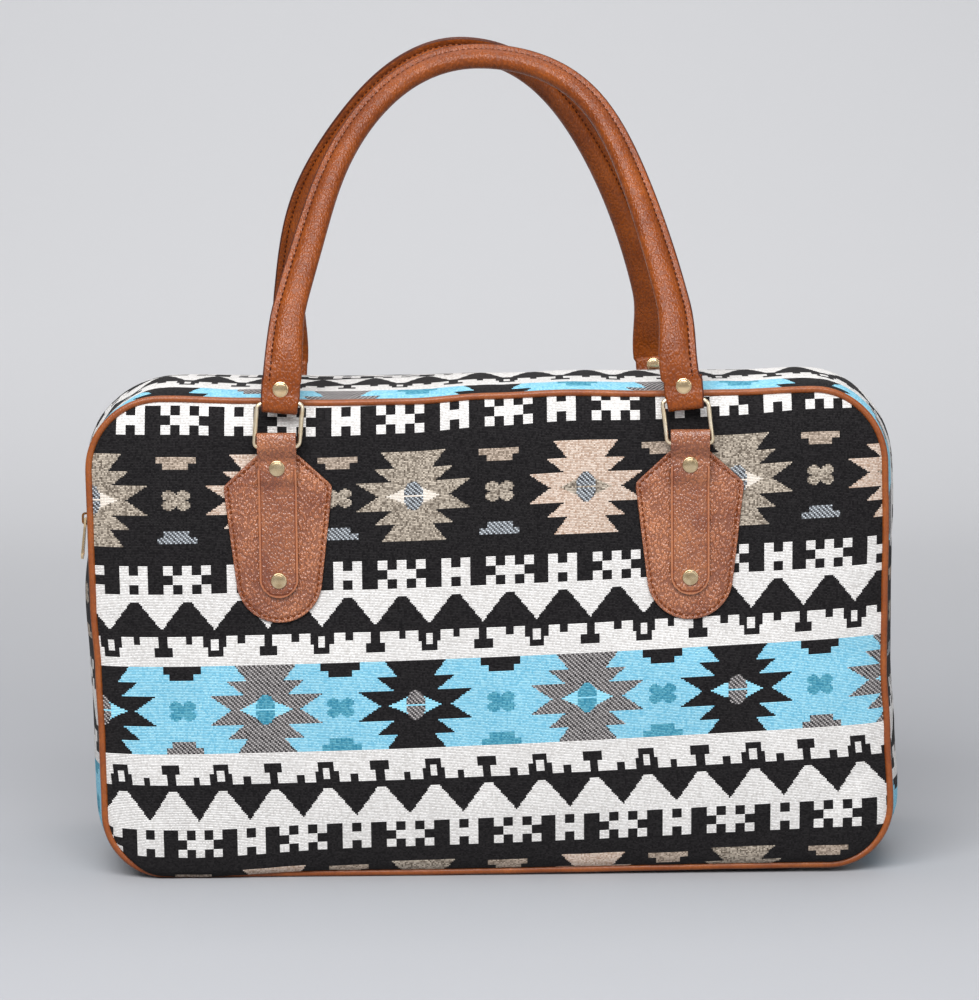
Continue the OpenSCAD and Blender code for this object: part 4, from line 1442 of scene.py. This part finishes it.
# %% [markdown]
# ## Thread, tape and coil
# The sewing thread is waxed and dull: tan on the patches, dark brown on the handles, with a slanting
# twist. Both are drawn darker than the thread is, as painted shade of the stitch holes. The zip tape is a
# tight brown twill. Its coil is moulded nylon, a little cloudy and shinier than the tape. A wave texture
# draws twist and twill: at scale 1 its bands are a tenth of pi apart, which gives the scale for a real
# spacing.

# %% Thread and tape
WAVE = math.pi / 10
# Metres. The tape's real twill is about half as wide: it is drawn coarser so that it shows.
TWIST, TWILL, CLOUDS = 0.00035, 0.0012, 0.0033


def make_thread(name, dark, light):
    material = begin(name)
    twist = add("TexWave", add("TexCoord", out=3), named={"Scale": WAVE / TWIST, "Distortion": 1.5},
                bands_direction="DIAGONAL", out=1)
    tint = add("Mix", named={0: twist, 6: colour(dark), 7: colour(light)}, out=2, data_type="RGBA")
    bump = add("Bump", named={"Strength": 0.4, "Distance": 0.0002, "Height": twist})
    add("OutputMaterial", add("BsdfPrincipled", named={"Base Color": tint, "Roughness": 0.7,
                                                       "Specular IOR Level": 0.15, "Normal": bump}))
    return material


# Painted shade: both threads are drawn darker than the thread is, to stand for the shade in the stitch holes.
dress(make_thread("waxed tan thread with painted hole shade", "#572509", "#7c3f1b"), *threads[:len(ENDS)])
dress(make_thread("waxed brown thread with painted hole shade", "#2d0e03", "#4a1a07"), *threads[len(ENDS):])
tape = begin("brown twill zip tape")
weave = add("TexWave", add("TexCoord", out=3), named={"Scale": WAVE / TWILL, "Distortion": 0.6},
            bands_direction="DIAGONAL", out=1)
tint = add("Mix", named={0: weave, 6: colour("#241a15"), 7: colour("#46342a")}, out=2, data_type="RGBA")
bump = add("Bump", named={"Strength": 0.4, "Distance": 0.0003, "Height": weave})
add("OutputMaterial", add("BsdfPrincipled", named={"Base Color": tint, "Roughness": 0.75, "Normal": bump}))
dress(tape, *tapes)
nylon = begin("brown nylon coil")
cloudy = add("TexNoise", add("TexCoord", out=3), named={"Scale": 1 / CLOUDS})
tint = add("Mix", named={0: cloudy, 6: colour("#2c201a"), 7: colour("#4a382d")}, out=2, data_type="RGBA")
add("OutputMaterial", add("BsdfPrincipled", named={"Base Color": tint, "Roughness": 0.4}))
dress(nylon, coil)
print("thread on", len(threads), "pieces, tape on", len(tapes))

# %% [markdown]
# ## Metal
# The hardware is plated in pale gold. Plating reflects sharply, but handling leaves fine scratches and a
# thin haze, so roughness follows stretched noise and the colour a slower one. The slider and the puller
# are the CAD's own solids: they have all their form already and only need a finish.

# %% Metal
# Metres: length and width of the scratches, and the size of the hazy patches.
SCRATCH_LONG, SCRATCH_WIDE, HAZE = 0.0011, 0.00019, 0.0045


def make_plating(name, bright, dull, roughness, scratch):
    material = begin(name)
    place = add("TexCoord", out=3)
    stretch = (1 / SCRATCH_LONG, 1 / SCRATCH_LONG, 1 / SCRATCH_WIDE)
    stretched = add("Mapping", place, named={"Scale": stretch})
    scratches = add("TexNoise", stretched, named={"Scale": 1.0, "Detail": 3.0})
    haze = add("TexNoise", place, named={"Scale": 1 / HAZE, "Detail": 3.0})
    haze = add("MapRange", haze, 0.35, 0.75, 0.0, 1.0)
    tint = add("Mix", named={0: haze, 6: colour(bright), 7: colour(dull)}, out=2, data_type="RGBA")
    rough = add("MapRange", scratches, 0.3, 0.7, roughness, roughness + 0.12)
    bump = add("Bump", named={"Strength": scratch, "Distance": 0.00005, "Height": scratches})
    add("OutputMaterial", add("BsdfPrincipled", named={"Base Color": tint, "Metallic": 1.0,
                                                       "Roughness": rough, "Normal": bump}))
    return material


# Caps on the handles and the puller: clear, sharp reflections.
pale_gold = make_plating("pale gold plating", "#f6dbb0", "#e6c495", 0.16, 0.12)
dress(pale_gold, *handle_rivets, nodes["zip_puller"])
# Rings: paler, with a broad soft gleam along the wire.
dress(make_plating("bright pale gold wire", "#fff0d4", "#f2dbb3", 0.28, 0.08), *rings)
# Caps on the patches: duller and greyer.
dress(make_plating("dulled gold plating", "#e0caa3", "#bca27b", 0.22, 0.1), *chape_rivets)
# Slider: browned with age, without sharp reflections.
dress(make_plating("aged brass", "#8f6238", "#5e3d22", 0.36, 0.3), nodes["zip_slider"])
print("metal:", len(tree.nodes), "nodes in each of four platings")

# %% [markdown]
# ## Studio
# The bag stands on a pale floor that curves up into a backdrop. Two large soft lamps light it from above
# on both sides of the camera, and the world fills in the rest.

# %% Studio
bpy.ops.object.select_all(action="DESELECT")
bpy.ops.mesh.primitive_grid_add(x_subdivisions=2, y_subdivisions=60, size=1)
floor = bpy.context.object
floor.name = "studio_sweep"
FLAT_TO, SWEEP_R = 1.6, 1.2
for v in floor.data.vertices:
    x, run = v.co.x * 14, (v.co.y + 0.5) * 9 - 4
    turn = min(max((run - FLAT_TO) / SWEEP_R, 0.0), math.pi / 2)
    up = max(run - FLAT_TO - SWEEP_R * math.pi / 2, 0.0)
    y = min(run, FLAT_TO) + SWEEP_R * math.sin(turn)
    v.co = (x, y, SWEEP_R * (1 - math.cos(turn)) + up)
smooth(floor)
paper = begin("pale paper sweep")
place = add("TexCoord", out=3)
fibres = add("TexNoise", place, named={"Scale": 1.2, "Detail": 4.0})
_, depth, _ = add("SeparateXYZ", place).node.outputs
# Painted light: the paper is drawn darker in front and paler up the sweep, as the lamps light it; the noise
# adds the paper's fibres.
far = add("MapRange", depth, 0.2, 2.6, 0.0, 1.0, interpolation_type="SMOOTHSTEP")
far = add("Math MULTIPLY_ADD", fibres, 0.06, far)
tint = add("Mix", named={0: far, 6: colour("#a0a1a5"), 7: colour("#e2e2e4")}, out=2, data_type="RGBA")
add("OutputMaterial", add("BsdfPrincipled", named={"Base Color": tint, "Roughness": 0.8}))
dress(paper, floor)


def soft_lamp(name, place, target, size, power):
    data = bpy.data.lights.new(name, "AREA")
    data.shape = "RECTANGLE"
    data.size, data.size_y = size
    data.energy = power
    lamp = bpy.data.objects.new(name, data)
    bpy.context.scene.collection.objects.link(lamp)
    lamp.location = place
    lamp.rotation_euler = (Vector(target) - Vector(place)).to_track_quat("-Z", "Y").to_euler()


soft_lamp("key_lamp", (-0.35, -1.8, 1.9), (0, 0, 0.25), (2.4, 1.5), 96)
soft_lamp("fill_lamp", (1.9, -1.9, 1.0), (0, 0, 0.25), (0.8, 1.2), 13)
soft_lamp("top_lamp", (0, 0.5, 2.4), (0, 0, 0.2), (2.4, 1.4), 22)
world = bpy.data.worlds.new("studio")
bpy.context.scene.world = world
world.use_nodes = True
tree = world.node_tree
tree.nodes.clear()
add("OutputWorld", add("Background", (0.9, 0.92, 0.95, 1), 0.32))
bpy.context.scene.view_settings.view_transform = "Standard"
print("studio lit")
